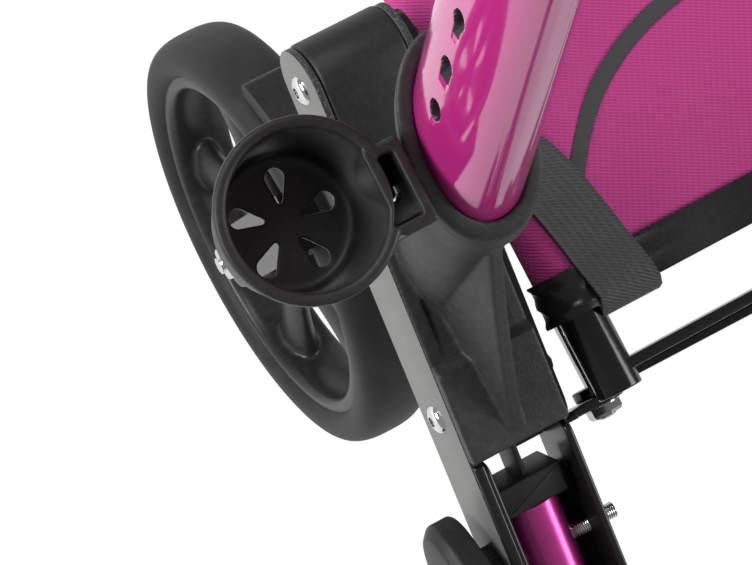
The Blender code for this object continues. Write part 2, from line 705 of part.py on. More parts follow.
def upright(tag, side):
    """The upright tube, open at the top for the handle, and the oval cover round it."""
    bm = bmesh.new()
    rod(bm, along_upright(side, UPRIGHT_START), along_upright(side, UPRIGHT_LENGTH), UPRIGHT_R, segments=24)
    tube = add(f"upright_{tag}", to_mesh("upright", bm), black_paint())
    inner = UPRIGHT_R - UPRIGHT_WALL
    floor = UPRIGHT_START + UPRIGHT_R
    drill(tube, along_upright(side, floor), along_upright(side, UPRIGHT_LENGTH + SHELL_WALL), inner)
    width = SHELL_HALF_WIDTH
    cover = add(f"upright_cover_{tag}", to_mesh("cover", oval_cone(side, SHELL_START, SHELL_END, width, width)),
                magenta_gloss())
    hollow = width - SHELL_WALL
    combine(cover, oval_tool(side, SHELL_START + SHELL_WALL, SHELL_END + SHELL_WALL, hollow, hollow), "DIFFERENCE")
    drill(cover, along_upright(side, 0), along_upright(side, SHELL_END + SHELL_WALL), UPRIGHT_R)
    place = along_upright(side, HEIGHT_KNOB_T, 0, UPRIGHT_R + GAP)
    drill(tube, along_upright(side, HEIGHT_KNOB_T), place, KNOB_STUD_R)
    knob(f"height_knob_{tag}", place, side, HEIGHT_KNOB_R, HEIGHT_KNOB_HEIGHT, UPRIGHT_R - HANDLE_R - RUNNING)


def handle_path(side):
    """The handle tube's middle line: up inside the upright, then round to a level grip."""
    start = along_upright(side, UPRIGHT_LENGTH - HANDLE_INSIDE)
    top = along_upright(side, HANDLE_TOP)
    heading = (top - start).normalized()
    level = Vector((0, -1, 0))
    turn = heading.angle(level)
    centre_side = (level - heading * level.dot(heading)).normalized()
    centre = top + centre_side * HANDLE_BEND
    points = [start, top]
    for step in range(1, 7):
        angle = turn * step / 6
        points.append(centre - centre_side * HANDLE_BEND * math.cos(angle) + heading * HANDLE_BEND * math.sin(angle))
    points.append(points[-1] + level * (GRIP_LENGTH + GRIP_STEM))
    return points


def handle(tag, side):
    """The sliding handle: bent tube, grip, brake lever and its clamp."""
    path = handle_path(side)
    tube = bent_tube(f"handle_tube_{tag}", path, HANDLE_R, black_paint(), along_upright(side, UPRIGHT_LENGTH), 4)
    end = path[-1]
    grip_front = end + Vector((0, GRIP_LENGTH, 0))
    grip_back = end - Vector((0, GRIP_PAST, 0))
    length = (grip_front - grip_back).length
    bore, plug = HANDLE_R + GAP, length - GRIP_CAP
    profile = [(0, length), (GRIP_R * 0.8, length), (GRIP_R, length - GRIP_ROUND), (GRIP_R * 0.92, length * 0.5),
               (GRIP_R, GRIP_ROUND), (GRIP_R * 0.85, 0), (bore, 0), (bore, plug), (0, plug)]
    grip = bake(turned(f"handle_grip_{tag}", profile, grip_front, (0, -1, 0), rubber(), steps=16))
    clamp_y = grip_front.y + CLAMP_GAP
    bm = bmesh.new()
    block(bm, (end.x - CLAMP_HALF, clamp_y, end.z - CLAMP_DROP),
          (end.x + CLAMP_HALF, clamp_y + CLAMP_THICK, end.z + CLAMP_HALF))
    clamp = add(f"lever_clamp_{tag}", to_mesh("clamp", bm), black_plastic())
    drill(clamp, path[-2] + Vector((0, CLAMP_DROP, 0)), end, HANDLE_R)
    pivot = Vector((end.x, clamp_y + CLAMP_THICK / 2, end.z - LEVER_DROP))
    outline = rounded_bar((pivot.y, pivot.z), (pivot.y - LEVER_LENGTH, pivot.z - LEVER_FALL), LEVER_HALF)
    lever = outline_plate(f"brake_lever_{tag}", outline, LEVER_WIDTH, fore_aft_matrix(end.x), black_plastic(), pivot)
    return tube, grip, lever


def knob(name, place, side, radius, height, stud, lobes=3):
    """A lobed hand knob on a short boss, with its stud pointing in towards the middle of the rollator."""
    profile = [(0, height), (radius * 0.8, height), (radius, height * 0.85), (radius, height * 0.4),
               (radius * 0.5, height * 0.35), (radius * 0.5, 0), (0, 0)]
    body = bake(turned(name, profile, place, (side, 0, 0), black_plastic(), steps=18))
    out = Vector((side, 0, 0))
    for lobe in range(lobes):
        angle = 2 * math.pi * lobe / lobes
        reach = Vector(place) + Vector((0, math.cos(angle), math.sin(angle))) * radius * 0.95
        combine(body, tool_rod(reach + out * height * 0.42, reach + out * height * 0.93, radius * 0.45, segments=8),
                "UNION")
    combine(body, tool_rod(place - out * stud, place + out * height / 2, KNOB_STUD_R, segments=12), "UNION")


def brake(tag, side):
    """The brake shoe's arm on its pin, over the back of the rear tyre."""
    pin = shoe_pin(side)
    end = (pin.y + SHOE_REACH[0], pin.z + SHOE_REACH[1])
    shoe = outline_plate(f"brake_shoe_{tag}", rounded_bar((pin.y, pin.z), end, SHOE_HALF), SHOE_WIDTH - 2 * GAP,
                         fore_aft_matrix(pin.x), black_plastic(), pin)
    reach = Vector((SHOE_WIDTH / 2 + EAR_THICK, 0, 0))
    combine(shoe, tool_rod(pin - reach, pin + reach, PIN_R, segments=16), "UNION")


def bar_fasteners(tag, side):
    """The two bolts of the bar, the clamp knob of the front leg and the rod that the brace turns on."""
    clamped = PLATE_GAP / 2 + PLATE_THICK
    for name, s in (("rear_bolt", BAR_BOLTS[0]), ("front_bolt", BAR_BOLTS[1])):
        bolt(f"{name}_{tag}", along_bar(side, s, 0, -clamped - GAP - BRACKET_WEB), along_bar(side, s, 0, clamped))
    place = along_bar(side, CLAMP_S, 0, clamped + GAP)
    knob(f"leg_knob_{tag}", place, side, LEG_KNOB_R, LEG_KNOB_HEIGHT, 2 * clamped + CLAMP_STUD_OUT)
    start = (side * PIVOT_X, ARM_YS[1] - 1.5 * ARM_THICK - 2 * GAP, PIVOT_Z)
    end = (side * PIVOT_X, ARM_YS[0] + ARM_THICK / 2 + GAP + BRACKET_THICK, PIVOT_Z)
    bolt(f"pivot_rod_{tag}", start, end, head=PIVOT_NUT_R, height=PIVOT_NUT)


def brace_bracket(tag, side):
    """A web bolted along the inner plate, with two ears that carry the brace's pivot rod."""
    web_x = -(PLATE_GAP / 2 + PLATE_THICK + GAP + BRACKET_WEB / 2)
    outline = rounded_bar((-REAR_BOLT_BACK, 0), (BRACKET_WEB_HALF, 0), BRACKET_WEB_HALF)
    bracket = outline_plate(f"brace_bracket_{tag}", outline, BRACKET_WEB, plate_matrix(side, web_x), black_paint())
    plate_x = BAR_X + web_x
    half = BRACKET_HEIGHT / 2
    for arm_y in ARM_YS:
        y = arm_y + ARM_THICK / 2 + GAP + BRACKET_THICK / 2
        top = FRONT_BOLT[1] + (FRONT_BOLT[0] - y) * math.tan(BAR_TILT)
        strip_x = plate_x - BRACKET_WEB / 2 - BRACKET_DROP
        nose = rounded_bar((strip_x, PIVOT_Z), (PIVOT_X, PIVOT_Z), half)[:9]
        points = [(plate_x, PIVOT_Z - half), (plate_x, top)]
        if top > PIVOT_Z + half:
            points += [(strip_x, top), (strip_x, PIVOT_Z + half)]
        outline = [(side * x, z) for x, z in points + nose]
        combine(bracket, outline_plate("ear", outline, BRACKET_THICK, lateral_matrix(y), None), "UNION")
    for s in BAR_BOLTS:
        drill(bracket, along_bar(side, s, 0, -PLATE_GAP), along_bar(side, s), BOLT_R)
    drill(bracket, (side * PIVOT_X, RAIL_BACK, PIVOT_Z), (side * PIVOT_X, 0, PIVOT_Z), BOLT_R)


def brace(name, pivot_side, layer):
    """Two crossing arms welded to a seat rail: from the pivots of one side to the rail of the other."""
    pivot = (pivot_side * PIVOT_X, PIVOT_Z)
    rail = (-pivot_side * RAIL_X, RAIL_Z)
    centre = brace_centre()
    bm = bmesh.new()
    rod(bm, (rail[0], RAIL_BACK, rail[1]), (rail[0], RAIL_FRONT, rail[1]), RAIL_R, segments=24)
    frame = add(name, to_mesh(name, bm), black_paint(), (pivot[0], 0, pivot[1]))
    for arm_y in ARM_YS:
        y = arm_y - layer * (ARM_THICK + GAP)
        arm = outline_plate("arm", rounded_bar(pivot, rail, ARM_HEIGHT / 2), ARM_THICK, lateral_matrix(y), None)
        combine(frame, arm, "UNION")
    for place, radius in ((pivot, BOLT_R), (centre, BOLT_R), (rail, RAIL_R - RAIL_WALL)):
        drill(frame, (place[0], RAIL_BACK - RAIL_WALL, place[1]), (place[0], RAIL_FRONT + RAIL_WALL, place[1]), radius)


def brace_centre():
    """Where the two arms cross, over the middle of the rollator."""
    share = PIVOT_X / (PIVOT_X + RAIL_X)
    return (0.0, PIVOT_Z + share * (RAIL_Z - PIVOT_Z))


def centre_rod():
    """The rod that joins the two braces where their arms cross."""
    x, z = brace_centre()
    bolt("centre_rod", (x, ARM_YS[1] - 1.5 * ARM_THICK - 2 * GAP, z), (x, ARM_YS[0] + ARM_THICK / 2 + GAP, z))


def seat_sling():
    """The seat cloth: a belly that sags between the rails, and hems that lie over them and down their far sides."""
    over = RAIL_R + GAP + SLING_THICK / 2
    belly, hem = 12, 5
    outline = []
    for column in range(belly + 1):
        across = 2 * column / belly - 1
        outline.append((RAIL_X * across, RAIL_Z + over - SLING_SAG * (1 - across ** 2)))
    for step in range(1, hem + 1):
        turn = SLING_HEM * step / hem
        x, z = RAIL_X + over * math.sin(turn), RAIL_Z + over * math.cos(turn)
        outline = [(-x, z)] + outline + [(x, z)]
    bm = bmesh.new()
    rows = 6
    lines = []
    for row in range(rows + 1):
        y = SLING_BACK + (SLING_FRONT - SLING_BACK) * row / rows
        lines.append([bm.verts.new((x, y, z)) for x, z in outline])
    for near, far in zip(lines, lines[1:]):
        for column in range(len(outline) - 1):
            bm.faces.new((near[column], near[column + 1], far[column + 1], far[column]))
    sling = add("seat_sling", to_mesh("sling", bm), black_plastic())
    wall = sling.modifiers.new("cloth", "SOLIDIFY")
    wall.thickness = SLING_THICK
    wall.offset = 0
    bake(sling)


def backrest():
    """The padded strap between the uprights, bowed backwards, with a sleeve round each upright."""
    anchor = along_upright(1, (STRAP_START + STRAP_END) / 2)
    half = BAR_X - UPRIGHT_R - STRAP_SLEEVE / 2
    columns = 16
    outline = []
    for edge, order in ((STRAP_THICK / 2, range(columns + 1)), (-STRAP_THICK / 2, range(columns, -1, -1))):
        for column in order:
            across = 2 * column / columns - 1
            outline.append((half * across, anchor.y - STRAP_BOW * (1 - across ** 2) + edge))
    strap = outline_plate("backrest_strap", outline, STRAP_HEIGHT, Matrix.Translation((0, 0, anchor.z)),
                          black_plastic())
    for side in SIDES.values():
        ends = along_upright(side, STRAP_START), along_upright(side, STRAP_END)
        combine(strap, tool_rod(*ends, UPRIGHT_R + STRAP_SLEEVE), "UNION")
        drill(strap, along_upright(side, SHELL_START), along_upright(side, UPRIGHT_LENGTH), UPRIGHT_R)


def teardrop(centre, radius, angle):
    """A slot's outline: a wide round end outwards and a narrow one towards the middle."""
    points = []
    for reach, half, turn in ((radius * 0.72, radius * 0.16, math.pi / 2), (radius * 0.28, radius * 0.06, -math.pi / 2)):
        for step in range(7):
            swing = angle + turn - math.pi * step / 6
            points.append((centre[0] + reach * math.cos(angle) + half * math.cos(swing),
                           centre[1] + reach * math.sin(angle) + half * math.sin(swing)))
    return points


def cup_holder():
    """The cup with its lipped rim, slotted floor and the flange that bolts to the casting's boss."""
    floor = CUP_RIM_Z - CUP_DEPTH
    centre = Vector((*CUP_CENTRE, floor))
    wall_top = CUP_RIM_R - CUP_LIP_OUT
    outer = [(0, 0), (CUP_FLOOR_R + CUP_WALL, 0), (wall_top, CUP_DEPTH - CUP_LIP),
             (CUP_RIM_R, CUP_DEPTH - CUP_LIP), (CUP_RIM_R, CUP_DEPTH)]
    inner = [(wall_top - CUP_WALL, CUP_DEPTH), (CUP_FLOOR_R, CUP_WALL), (0, CUP_WALL)]
    cup = bake(turned("cup_holder", (outer + inner)[::-1], centre, (0, 0, 1), black_plastic(), steps=32))
    low_y, high_y = CUP_FLANGE_Y
    low_z, high_z = CUP_FLANGE_Z
    wall_x = CUP_CENTRE[0] - wall_top + CUP_WALL / 2
    combine(cup, tool_block((BOSS_X, low_y, low_z), (wall_x, high_y, high_z)), "UNION")
    wall = CUP_FLANGE_WALL
    pocket = tool_block((BOSS_X + wall, low_y + 2 * wall, low_z + 2 * wall),
                        (wall_x + 2 * wall, high_y - 2 * wall, CUP_RIM_Z + wall))
    combine(cup, pocket, "DIFFERENCE")
    screw_y = (low_y + high_y) / 2
    drill(cup, (BOSS_X - wall, screw_y, CUP_SCREW_Z), (CUP_CENTRE[0] - CUP_FLOOR_R, screw_y, CUP_SCREW_Z), SCREW_R)
    for slot in range(CUP_SLOTS):
        angle = 2 * math.pi * slot / CUP_SLOTS
        shape = outline_plate("slot", teardrop(CUP_CENTRE, CUP_FLOOR_R, angle), 0.02, Matrix.Translation((0, 0, floor)),
                              None)
        combine(cup, shape, "DIFFERENCE")


def stand_on_origin():
    """Move every piece so that the middle of the rollator's box stands on the origin."""
    bpy.context.view_layer.update()
    places = [obj.matrix_world @ vert.co for obj in parts.objects for vert in obj.data.vertices]
    low = Vector([min(place[axis] for place in places) for axis in range(3)])
    high = Vector([max(place[axis] for place in places) for axis in range(3)])
    shift = Vector((-(low.x + high.x) / 2, -(low.y + high.y) / 2, -low.z))
    for obj in parts.objects:
        obj.location += shift
    return shift


for tag, side in SIDES.items():
    bar_plates(tag, side)
    rear_block(tag, side)
    hub_casting(tag, side)
    front_channel(tag, side)
    front_leg(tag, side)
    rear_leg(tag, side)
    castor_fork(tag, side)
    wheel(tag, side, "rear", REAR_AXLE_Y, REAR_WHEEL_R)
    wheel(tag, side, "front", FRONT_AXLE_Y, FRONT_WHEEL_R)
    upright(tag, side)
    handle(tag, side)
    brake(tag, side)
    bar_fasteners(tag, side)
    brace_bracket(tag, side)

brace("brace_from_right", 1, 0)
brace("brace_from_left", -1, 1)
centre_rod()
seat_sling()
backrest()
cup_holder()
shift = stand_on_origin()
print("moved by", tuple(round(step, 5) for step in shift))
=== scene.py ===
"""Looks of a folding rollator, seen steeply from above its right rear wheel, cup holder and casting."""
import json
import math

import bmesh
import bpy
import numpy as np
from mathutils import Matrix, Vector


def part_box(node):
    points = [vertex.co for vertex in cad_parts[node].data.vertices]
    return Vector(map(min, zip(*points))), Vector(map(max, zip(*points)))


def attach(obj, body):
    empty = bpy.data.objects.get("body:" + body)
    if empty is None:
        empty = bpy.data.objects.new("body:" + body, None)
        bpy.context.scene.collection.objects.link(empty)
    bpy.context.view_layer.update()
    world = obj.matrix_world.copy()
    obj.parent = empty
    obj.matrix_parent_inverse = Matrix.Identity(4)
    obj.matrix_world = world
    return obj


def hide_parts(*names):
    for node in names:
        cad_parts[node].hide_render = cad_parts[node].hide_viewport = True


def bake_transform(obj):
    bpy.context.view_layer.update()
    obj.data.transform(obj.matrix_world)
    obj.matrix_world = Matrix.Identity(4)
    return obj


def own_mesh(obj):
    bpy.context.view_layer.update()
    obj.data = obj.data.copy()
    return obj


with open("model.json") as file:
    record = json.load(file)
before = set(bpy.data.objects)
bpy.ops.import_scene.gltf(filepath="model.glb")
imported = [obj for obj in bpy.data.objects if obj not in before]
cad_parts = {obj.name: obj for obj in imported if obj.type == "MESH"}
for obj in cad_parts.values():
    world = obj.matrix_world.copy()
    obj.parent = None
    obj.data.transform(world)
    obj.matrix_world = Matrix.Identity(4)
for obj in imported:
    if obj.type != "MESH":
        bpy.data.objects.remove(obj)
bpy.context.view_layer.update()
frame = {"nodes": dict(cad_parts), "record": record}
nodes = frame["nodes"]
record = frame["record"]
node_bodies = {name: body for body, members in record["behaviour"]["bodies"].items() for name in members}
node_slots = {part["node"]: part["material_slot"] for part in record["subparts"]}

SIDES = {1: "right", -1: "left"}
TURN = 2 * math.pi
X_AXIS, Y_AXIS, Z_AXIS = (1, 0, 0), (0, 1, 0), (0, 0, 1)


def middle(node):
    low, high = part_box(node)
    return (low + high) / 2


# Where the model stands: the rear axle is drawn at this place before the whole model is centred
AXLE_DRAWN = Vector((0.262, -0.235, 0.127))
SHIFT = middle("rear_axle_right") - AXLE_DRAWN

# The side bar and the upright, in the drawn place
BAR_X = 0.275
BAR_TILT = math.radians(18)
FRONT_BOLT = (-0.109, 0.380)
UPRIGHT_TILT = math.radians(73)
UPRIGHT_FOOT = (-0.180, 0.402)

# Photograph
PHOTO_WIDTH = 752
FOCAL_PIXELS = 4830
SENSOR = 0.036
CAMERA_PLACE = (0.9825, -0.1853, 2.7708)
CAMERA_RIGHT = (-0.856, 0.463, 0.2445)
CAMERA_UP = (-0.447, -0.886, 0.128)


def drawn(x, y, z):
    """A point of the drawn place, where the model stands."""
    return Vector((x, y, z)) + SHIFT


def grid_frame(place, out, forward, upward):
    """A 4 by 4 matrix from local axes and a place."""
    return Matrix.Translation(place) @ Matrix((out, forward, upward)).transposed().to_4x4()


def bar_frame(side):
    """The side bar's own axes: outwards, forwards along the bar, square to it, from the front bolt."""
    sin, cos = math.sin(BAR_TILT), math.cos(BAR_TILT)
    return grid_frame(drawn(side * BAR_X, *FRONT_BOLT), (side, 0, 0), (0, cos, -sin), (0, sin, cos))


def upright_frame(side):
    """The upright's own axes: outwards, forwards square to it, up along it, from its foot."""
    sin, cos = math.sin(UPRIGHT_TILT), math.cos(UPRIGHT_TILT)
    return grid_frame(drawn(side * BAR_X, *UPRIGHT_FOOT), (side, 0, 0), (0, sin, cos), (0, -cos, sin))


def placed(points, matrix):
    """Moves an array of points (..., 3) by a matrix."""
    m = np.array(matrix)
    return points @ m[:3, :3].T + m[:3, 3]


class Paint:
    """One output of a material's nodes. A sum or product with it adds a Math node."""

    def __init__(self, tree, socket=None):
        self.tree = tree
        self.socket = socket

    def node(self, kind, settings=None, values=None, output=0):
        """Adds a node: its settings first, then the values or links of its sockets. Returns one output."""
        made = self.tree.nodes.new("ShaderNode" + kind)
        for name, setting in (settings or {}).items():
            setattr(made, name, setting)
        for name, value in (values or {}).items():
            if isinstance(value, Paint):
                self.tree.links.new(value.socket, made.inputs[name])
            else:
                made.inputs[name].default_value = value
        return Paint(self.tree, made.outputs[output])

    def maths(self, operation, *values):
        return self.node("Math", {"operation": operation}, dict(enumerate(values)))

    def smooth(self, low, high):
        """This value as a soft step from 0 at low to 1 at high."""
        values = {"Value": self, "From Min": low, "From Max": high}
        return self.node("MapRange", {"interpolation_type": "SMOOTHSTEP"}, values)

    def rays(self):
        """Whether a ray comes from the camera, and whether from a reflection."""
        outputs = self.node("LightPath").socket.node.outputs
        return (Paint(self.tree, outputs[f"Is {kind} Ray"]) for kind in ("Camera", "Glossy"))

    def __add__(self, other):
        return self.maths("ADD", self, other)

    def __radd__(self, other):
        return self.maths("ADD", other, self)

    def __rsub__(self, other):
        return self.maths("SUBTRACT", other, self)

    def __mul__(self, other):
        return self.maths("MULTIPLY", self, other)

    def __rmul__(self, other):
        return self.maths("MULTIPLY", other, self)


def opaque(colour):
    return (*colour, 1) if isinstance(colour, tuple) else colour


class Finish:
    """A material with one Principled shader, and the paints that its looks are made from."""

    def __init__(self, name, **fixed):
        self.material = bpy.data.materials.new(name)
        self.material.use_nodes = True
        self.tree = self.material.node_tree
        self.shader = self.tree.nodes["Principled BSDF"]
        self.paint = Paint(self.tree)
        for socket, value in fixed.items():
            socket = socket.replace("_", " ").title().replace("Ior", "IOR")
            self.shader.inputs[socket].default_value = opaque(value)

    def shown(self, colour, roughness, normal=None):
        """The material, once its colour, roughness and normal are linked."""
        for socket, paint in (("Base Color", colour), ("Roughness", roughness), ("Normal", normal)):
            if paint:
                self.tree.links.new(paint.socket, self.shader.inputs[socket])
        return self.material

    def mix(self, share, first, second):
        """A colour between two, by a share from 0 to 1."""
        values = {0: share, 6: opaque(first), 7: opaque(second)}
        return self.paint.node("Mix", {"data_type": "RGBA"}, values, 2)

    def place(self, kind="Object"):
        """Where a point is on its piece, or its own UV."""
        return self.paint.node("TexCoord", output={"UV": 2, "Object": 3}[kind])

    def noise(self, size, detail=2.0, stretch=(1, 1, 1), kind="Object"):
        """Soft random grey from 0 to 1 whose spots are about size metres."""
        scale = tuple(axis / size for axis in stretch)
        at = self.paint.node("Mapping", None, {"Vector": self.place(kind), "Scale": scale})
        return self.paint.node("TexNoise", None, {"Vector": at, "Scale": 1.0, "Detail": detail})

    def bump(self, height, depth, below=None):
        """A normal for a height from 0 to 1 that stands out by depth metres, over an earlier normal."""
        values = {"Height": height, "Distance": depth, "Strength": 1.0}
        if below:
            values["Normal"] = below
        return self.paint.node("Bump", None, values)


# Colours
BLACK = (0.014, 0.014, 0.0145)
BLACK_PAINT = (0.006, 0.006, 0.0065)
MAGENTA = (0.47, 0.020, 0.205)


def moulded_black(name, grain, depth, colour=BLACK, roughness=0.42):
    """Moulded plastic: a fine sparkle of grain, with patches a little shinier where hands have been."""
    look = Finish(name, base_color=colour, specular_ior_level=0.34)
    fine, worn, dust = look.noise(grain, 3.0), look.noise(0.045), look.noise(grain * 3, 4.0)
    pale = tuple(min(1.0, tone * 1.7) for tone in colour)
    rough = roughness - 0.06 + 0.14 * worn + 0.06 * fine
    return look.shown(look.mix(dust.smooth(0.35, 0.9), colour, pale), rough, look.bump(fine, depth))


def tyre_rubber():
    """Satin wheel rubber: nearly smooth, with dust that is paler in streaks round the tread."""
    look = Finish("tyre_rubber", base_color=(0.02, 0.02, 0.021), specular_ior_level=0.25)
    dust, fine = look.noise(0.02, 4.0), look.noise(0.0012)
    colour = look.mix(dust.smooth(0.4, 0.85), (0.019, 0.019, 0.020), (0.034, 0.033, 0.032))
    return look.shown(colour, 0.46 + 0.16 * dust, look.bump(fine, 0.00004))


def gloss_paint(name, colour, roughness):
    """Sprayed gloss: a clear coat, orange peel that only shows in reflections, and the odd dust nib."""
    look = Finish(name, base_color=colour, specular_ior_level=0.3, coat_weight=0.25, coat_roughness=0.05)
    peel, cloud = look.noise(0.004, 1.0), look.noise(0.09)
    nib = look.noise(0.0015, 1.0).smooth(0.78, 0.84)
    deep = tuple(tone * 0.86 for tone in colour)
    normal = look.bump(nib, 0.00003, look.bump(peel, 0.00005))
    return look.shown(look.mix(cloud, colour, deep), roughness + 0.05 * cloud, normal)


def plate_painted_reflection():
    """Satin plate face whose grey is a painted reflection of the white room on black paint, with a faint
    brushing along the bar and small dark scuffs.
    """
    look = Finish("plate_painted_reflection", metallic=0.25, specular_ior_level=0.35)
    brushed = look.noise(0.0006, stretch=(1, 0.04, 1))
    scuff = look.noise(0.006, 5.0).smooth(0.66, 0.80)
    # The two greys are a painted reflection of the white room on black paint, shifted by the brushing.
    grey = look.mix(brushed, (0.155, 0.155, 0.153), (0.225, 0.225, 0.22))
    colour = look.mix(scuff * 0.5, grey, (0.07, 0.07, 0.07))
    return look.shown(colour, 0.38 + 0.12 * brushed + 0.10 * scuff, look.bump(brushed, 0.00003))


def speckled_edge():
    """The plate's cut edge: black coating with coarse pale specks."""
    look = Finish("speckled_edge", base_color=BLACK)
    speck = look.noise(0.0013, 3.0).smooth(0.50, 0.72)
    colour = look.mix(speck, (0.022, 0.022, 0.022), (0.10, 0.10, 0.10))
    return look.shown(colour, 0.55 - 0.2 * speck, look.bump(speck, 0.00025))


def bright_chrome(name, tone):
    """Plated steel with faint wipe marks."""
    look = Finish(name, metallic=1.0)
    wipe = look.noise(0.003, 3.0, (1, 3, 1))
    dark = (tone * 0.86, tone * 0.86, tone * 0.88)
    return look.shown(look.mix(wipe, (tone, tone, tone), dark), 0.06 + 0.10 * wipe)


def magenta_gloss():
    """Deep glossy magenta plastic under a clear coat."""
    look = Finish("magenta_gloss", coat_weight=0.6, coat_roughness=0.03)
    cloud, wave = look.noise(0.12), look.noise(0.03, 1.0)
    colour = look.mix(cloud, MAGENTA, (0.51, 0.027, 0.225))
    return look.shown(colour, 0.10 + 0.05 * cloud, look.bump(wave, 0.00012))


def magenta_metal():
    """Satin metallic magenta tube: fine flakes under lacquer."""
    look = Finish("magenta_metal", metallic=0.55, coat_weight=0.5, coat_roughness=0.12)
    flake = look.noise(0.0007, 1.0)
    colour = look.mix(flake, (0.46, 0.022, 0.22), (0.72, 0.06, 0.38))
    return look.shown(colour, 0.26 + 0.14 * flake, look.bump(flake, 0.00002))


def grip_rubber():
    """Matt soft rubber with a pebbled hold."""
    look = Finish("grip_rubber", base_color=BLACK)
    pebble = look.paint.node("TexVoronoi", None, {"Vector": look.place(), "Scale": 480.0})
    fine = look.noise(0.0009, 3.0)
    colour = look.mix(fine, (0.016, 0.016, 0.017), (0.034, 0.034, 0.034))
    return look.shown(colour, 0.62 + 0.15 * fine, look.bump(pebble, 0.0003))


def weave(name, threads, dark, pale, twill=0.0, shine=0.55):
    """Woven cloth on the piece's UV in metres: two thread waves and their product, slanted for a twill. Its
    colour goes from dark in the hollows to pale on the thread crowns: painted shade and painted highlight.
    """
    look = Finish(name, sheen_weight=0.15)
    across = look.paint.node("SeparateXYZ", None, {"Vector": look.place("UV")})
    along = Paint(look.tree, across.socket.node.outputs[1])
    turns = TURN / threads
    slant = along * turns + across * (turns * twill)
    weft = slant.maths("SINE", slant)
    warp = across.maths("SINE", across * (turns * 0.5))
    height = 0.5 + 0.32 * weft + 0.18 * (weft * warp)
    fibre = look.noise(threads * 0.4, 3.0, kind="UV")
    cloud = look.noise(0.03, kind="UV")
    # Colour by thread height is painted shade in the hollows and painted highlight on the crowns; the fibre
    # noise is the yarn's own random tone.
    colour = look.mix(height * 0.75 + fibre * 0.25, dark, pale)
    rough = shine + 0.18 * fibre + 0.08 * cloud
    return look.shown(colour, rough, look.bump(height + 0.2 * fibre, threads * 0.22))


looks = {
    "plastic": moulded_black("satin_plastic", 0.0011, 0.00006),
    "casting": moulded_black("grained_casting", 0.0016, 0.00022, (0.030, 0.030, 0.030), 0.46),
    "rim": moulded_black("rim_plastic", 0.0012, 0.00004, (0.018, 0.018, 0.019), 0.30),
    "vinyl": moulded_black("seat_vinyl", 0.0009, 0.00008, (0.012, 0.012, 0.013), 0.20),
    "tyre": tyre_rubber(),
    "paint": gloss_paint("black_gloss_paint", BLACK_PAINT, 0.16),
    "satin_paint": gloss_paint("black_satin_paint", BLACK_PAINT, 0.34),
    # plate: grey painted reflection of the white room on black paint
    "plate": plate_painted_reflection(),
    "edge": speckled_edge(),
    "chrome": bright_chrome("bright_chrome", 0.80),
    "dark_chrome": bright_chrome("dark_chrome", 0.42),
    "magenta": magenta_gloss(),
    "leg": magenta_metal(),
    "grip": grip_rubber(),
    # Each weave's dark and pale colours are its painted shade between the threads and painted highlight on
    # them.
    "webbing": weave("twill_webbing", 0.0022, (0.012, 0.012, 0.013), (0.085, 0.085, 0.086), 0.8),
    "ribbed": weave("ribbed_cloth", 0.0017, (0.30, 0.012, 0.12), (0.66, 0.05, 0.32), 0.0, 0.6),
    "binding": weave("binding_tape", 0.0016, (0.010, 0.010, 0.011), (0.060, 0.060, 0.061), 0.5),
}
SLOT_LOOKS = {
    # plate_steel parts take the plate look, whose grey is a painted reflection
    "plate_steel": "plate", "black_plastic": "plastic", "rim_plastic": "rim", "black_paint": "paint",
    "magenta_metal": "leg", "magenta_gloss": "magenta", "rubber": "tyre", "grip_rubber": "grip",
    "chrome": "chrome", "seat_vinyl": "vinyl", "strap_webbing": "webbing",
}


def added(name, data):
    """An object in the scene's collection."""
    made = bpy.data.objects.new(name, data)
    bpy.context.scene.collection.objects.link(made)
    return made


def linked(name, shape):
    """A plain object of (points, faces), its faces turned outwards."""
    mesh = bpy.data.meshes.new(name)
    mesh.from_pydata(shape[0].tolist(), [], shape[1])
    bm = bmesh.new()
    bm.from_mesh(mesh)
    bmesh.ops.recalc_face_normals(bm, faces=bm.faces)
    bm.to_mesh(mesh)
    bm.free()
    return added(name, mesh)


def dressed(piece, look, body, stands_for, angle, uv=None):
    """Gives a piece its material, smooth shading up to an angle, and body."""
    piece.data.materials.append(looks[look])
    piece.data.shade_smooth()
    piece.data.set_sharp_from_angle(angle=math.radians(angle))
    if uv is not None:
        layer = piece.data.uv_layers.new(name="UVMap")
        corners = np.empty(len(piece.data.loops), int)
        piece.data.loops.foreach_get("vertex_index", corners)
        layer.data.foreach_set("uv", uv.reshape(-1, 2)[corners].ravel())
    if stands_for:
        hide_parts(*stands_for)
    if body:
        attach(piece, body)
    return piece


def stand_in(piece, look, node, angle):
    """Dresses a piece that stands for one CAD node, with that node's body."""
    return dressed(piece, look, node_bodies[node], [node], angle)


def finished(shape, name, side, look, stands_for, angle):
    """A surface of one side that stands for a CAD node of that side."""
    return stand_in(linked(f"{name}_{SIDES[side]}", shape), look, f"{stands_for}_{SIDES[side]}", angle)


def extra(shape, name, side, look, carrier, angle=32):
    """A surface that stands for no node but rides with one."""
    body = node_bodies[f"{carrier}_{SIDES[side]}"]
    return dressed(linked(f"{name}_{SIDES[side]}", shape), look, body, (), angle)


def skin(rings, looped=False):
    """Quads between rings, (rings, around, 3). Each end gets a face, or the last meets the first."""
    count, around = rings.shape[:2]
    index = np.arange(count * around).reshape(count, around)
    if looped:
        index = np.vstack([index, index[:1]])
    ahead = np.roll(index, -1, axis=1)
    quads = np.stack([index[:-1], ahead[:-1], ahead[1:], index[1:]], axis=-1).reshape(-1, 4).tolist()
    if not looped:
        quads += [index[0][::-1].tolist(), index[-1].tolist()]
    return rings.reshape(-1, 3), quads


def together(*shapes):
    """Several (points, faces) as one."""
    points, faces, start = [], [], 0
    for shape_points, shape_faces in shapes:
        points.append(shape_points)
        faces += [[corner + start for corner in face] for face in shape_faces]
        start += len(shape_points)
    return np.vstack(points), faces


def oblong(left, right, low, high):
    return [(left, low), (right, low), (right, high), (left, high)]


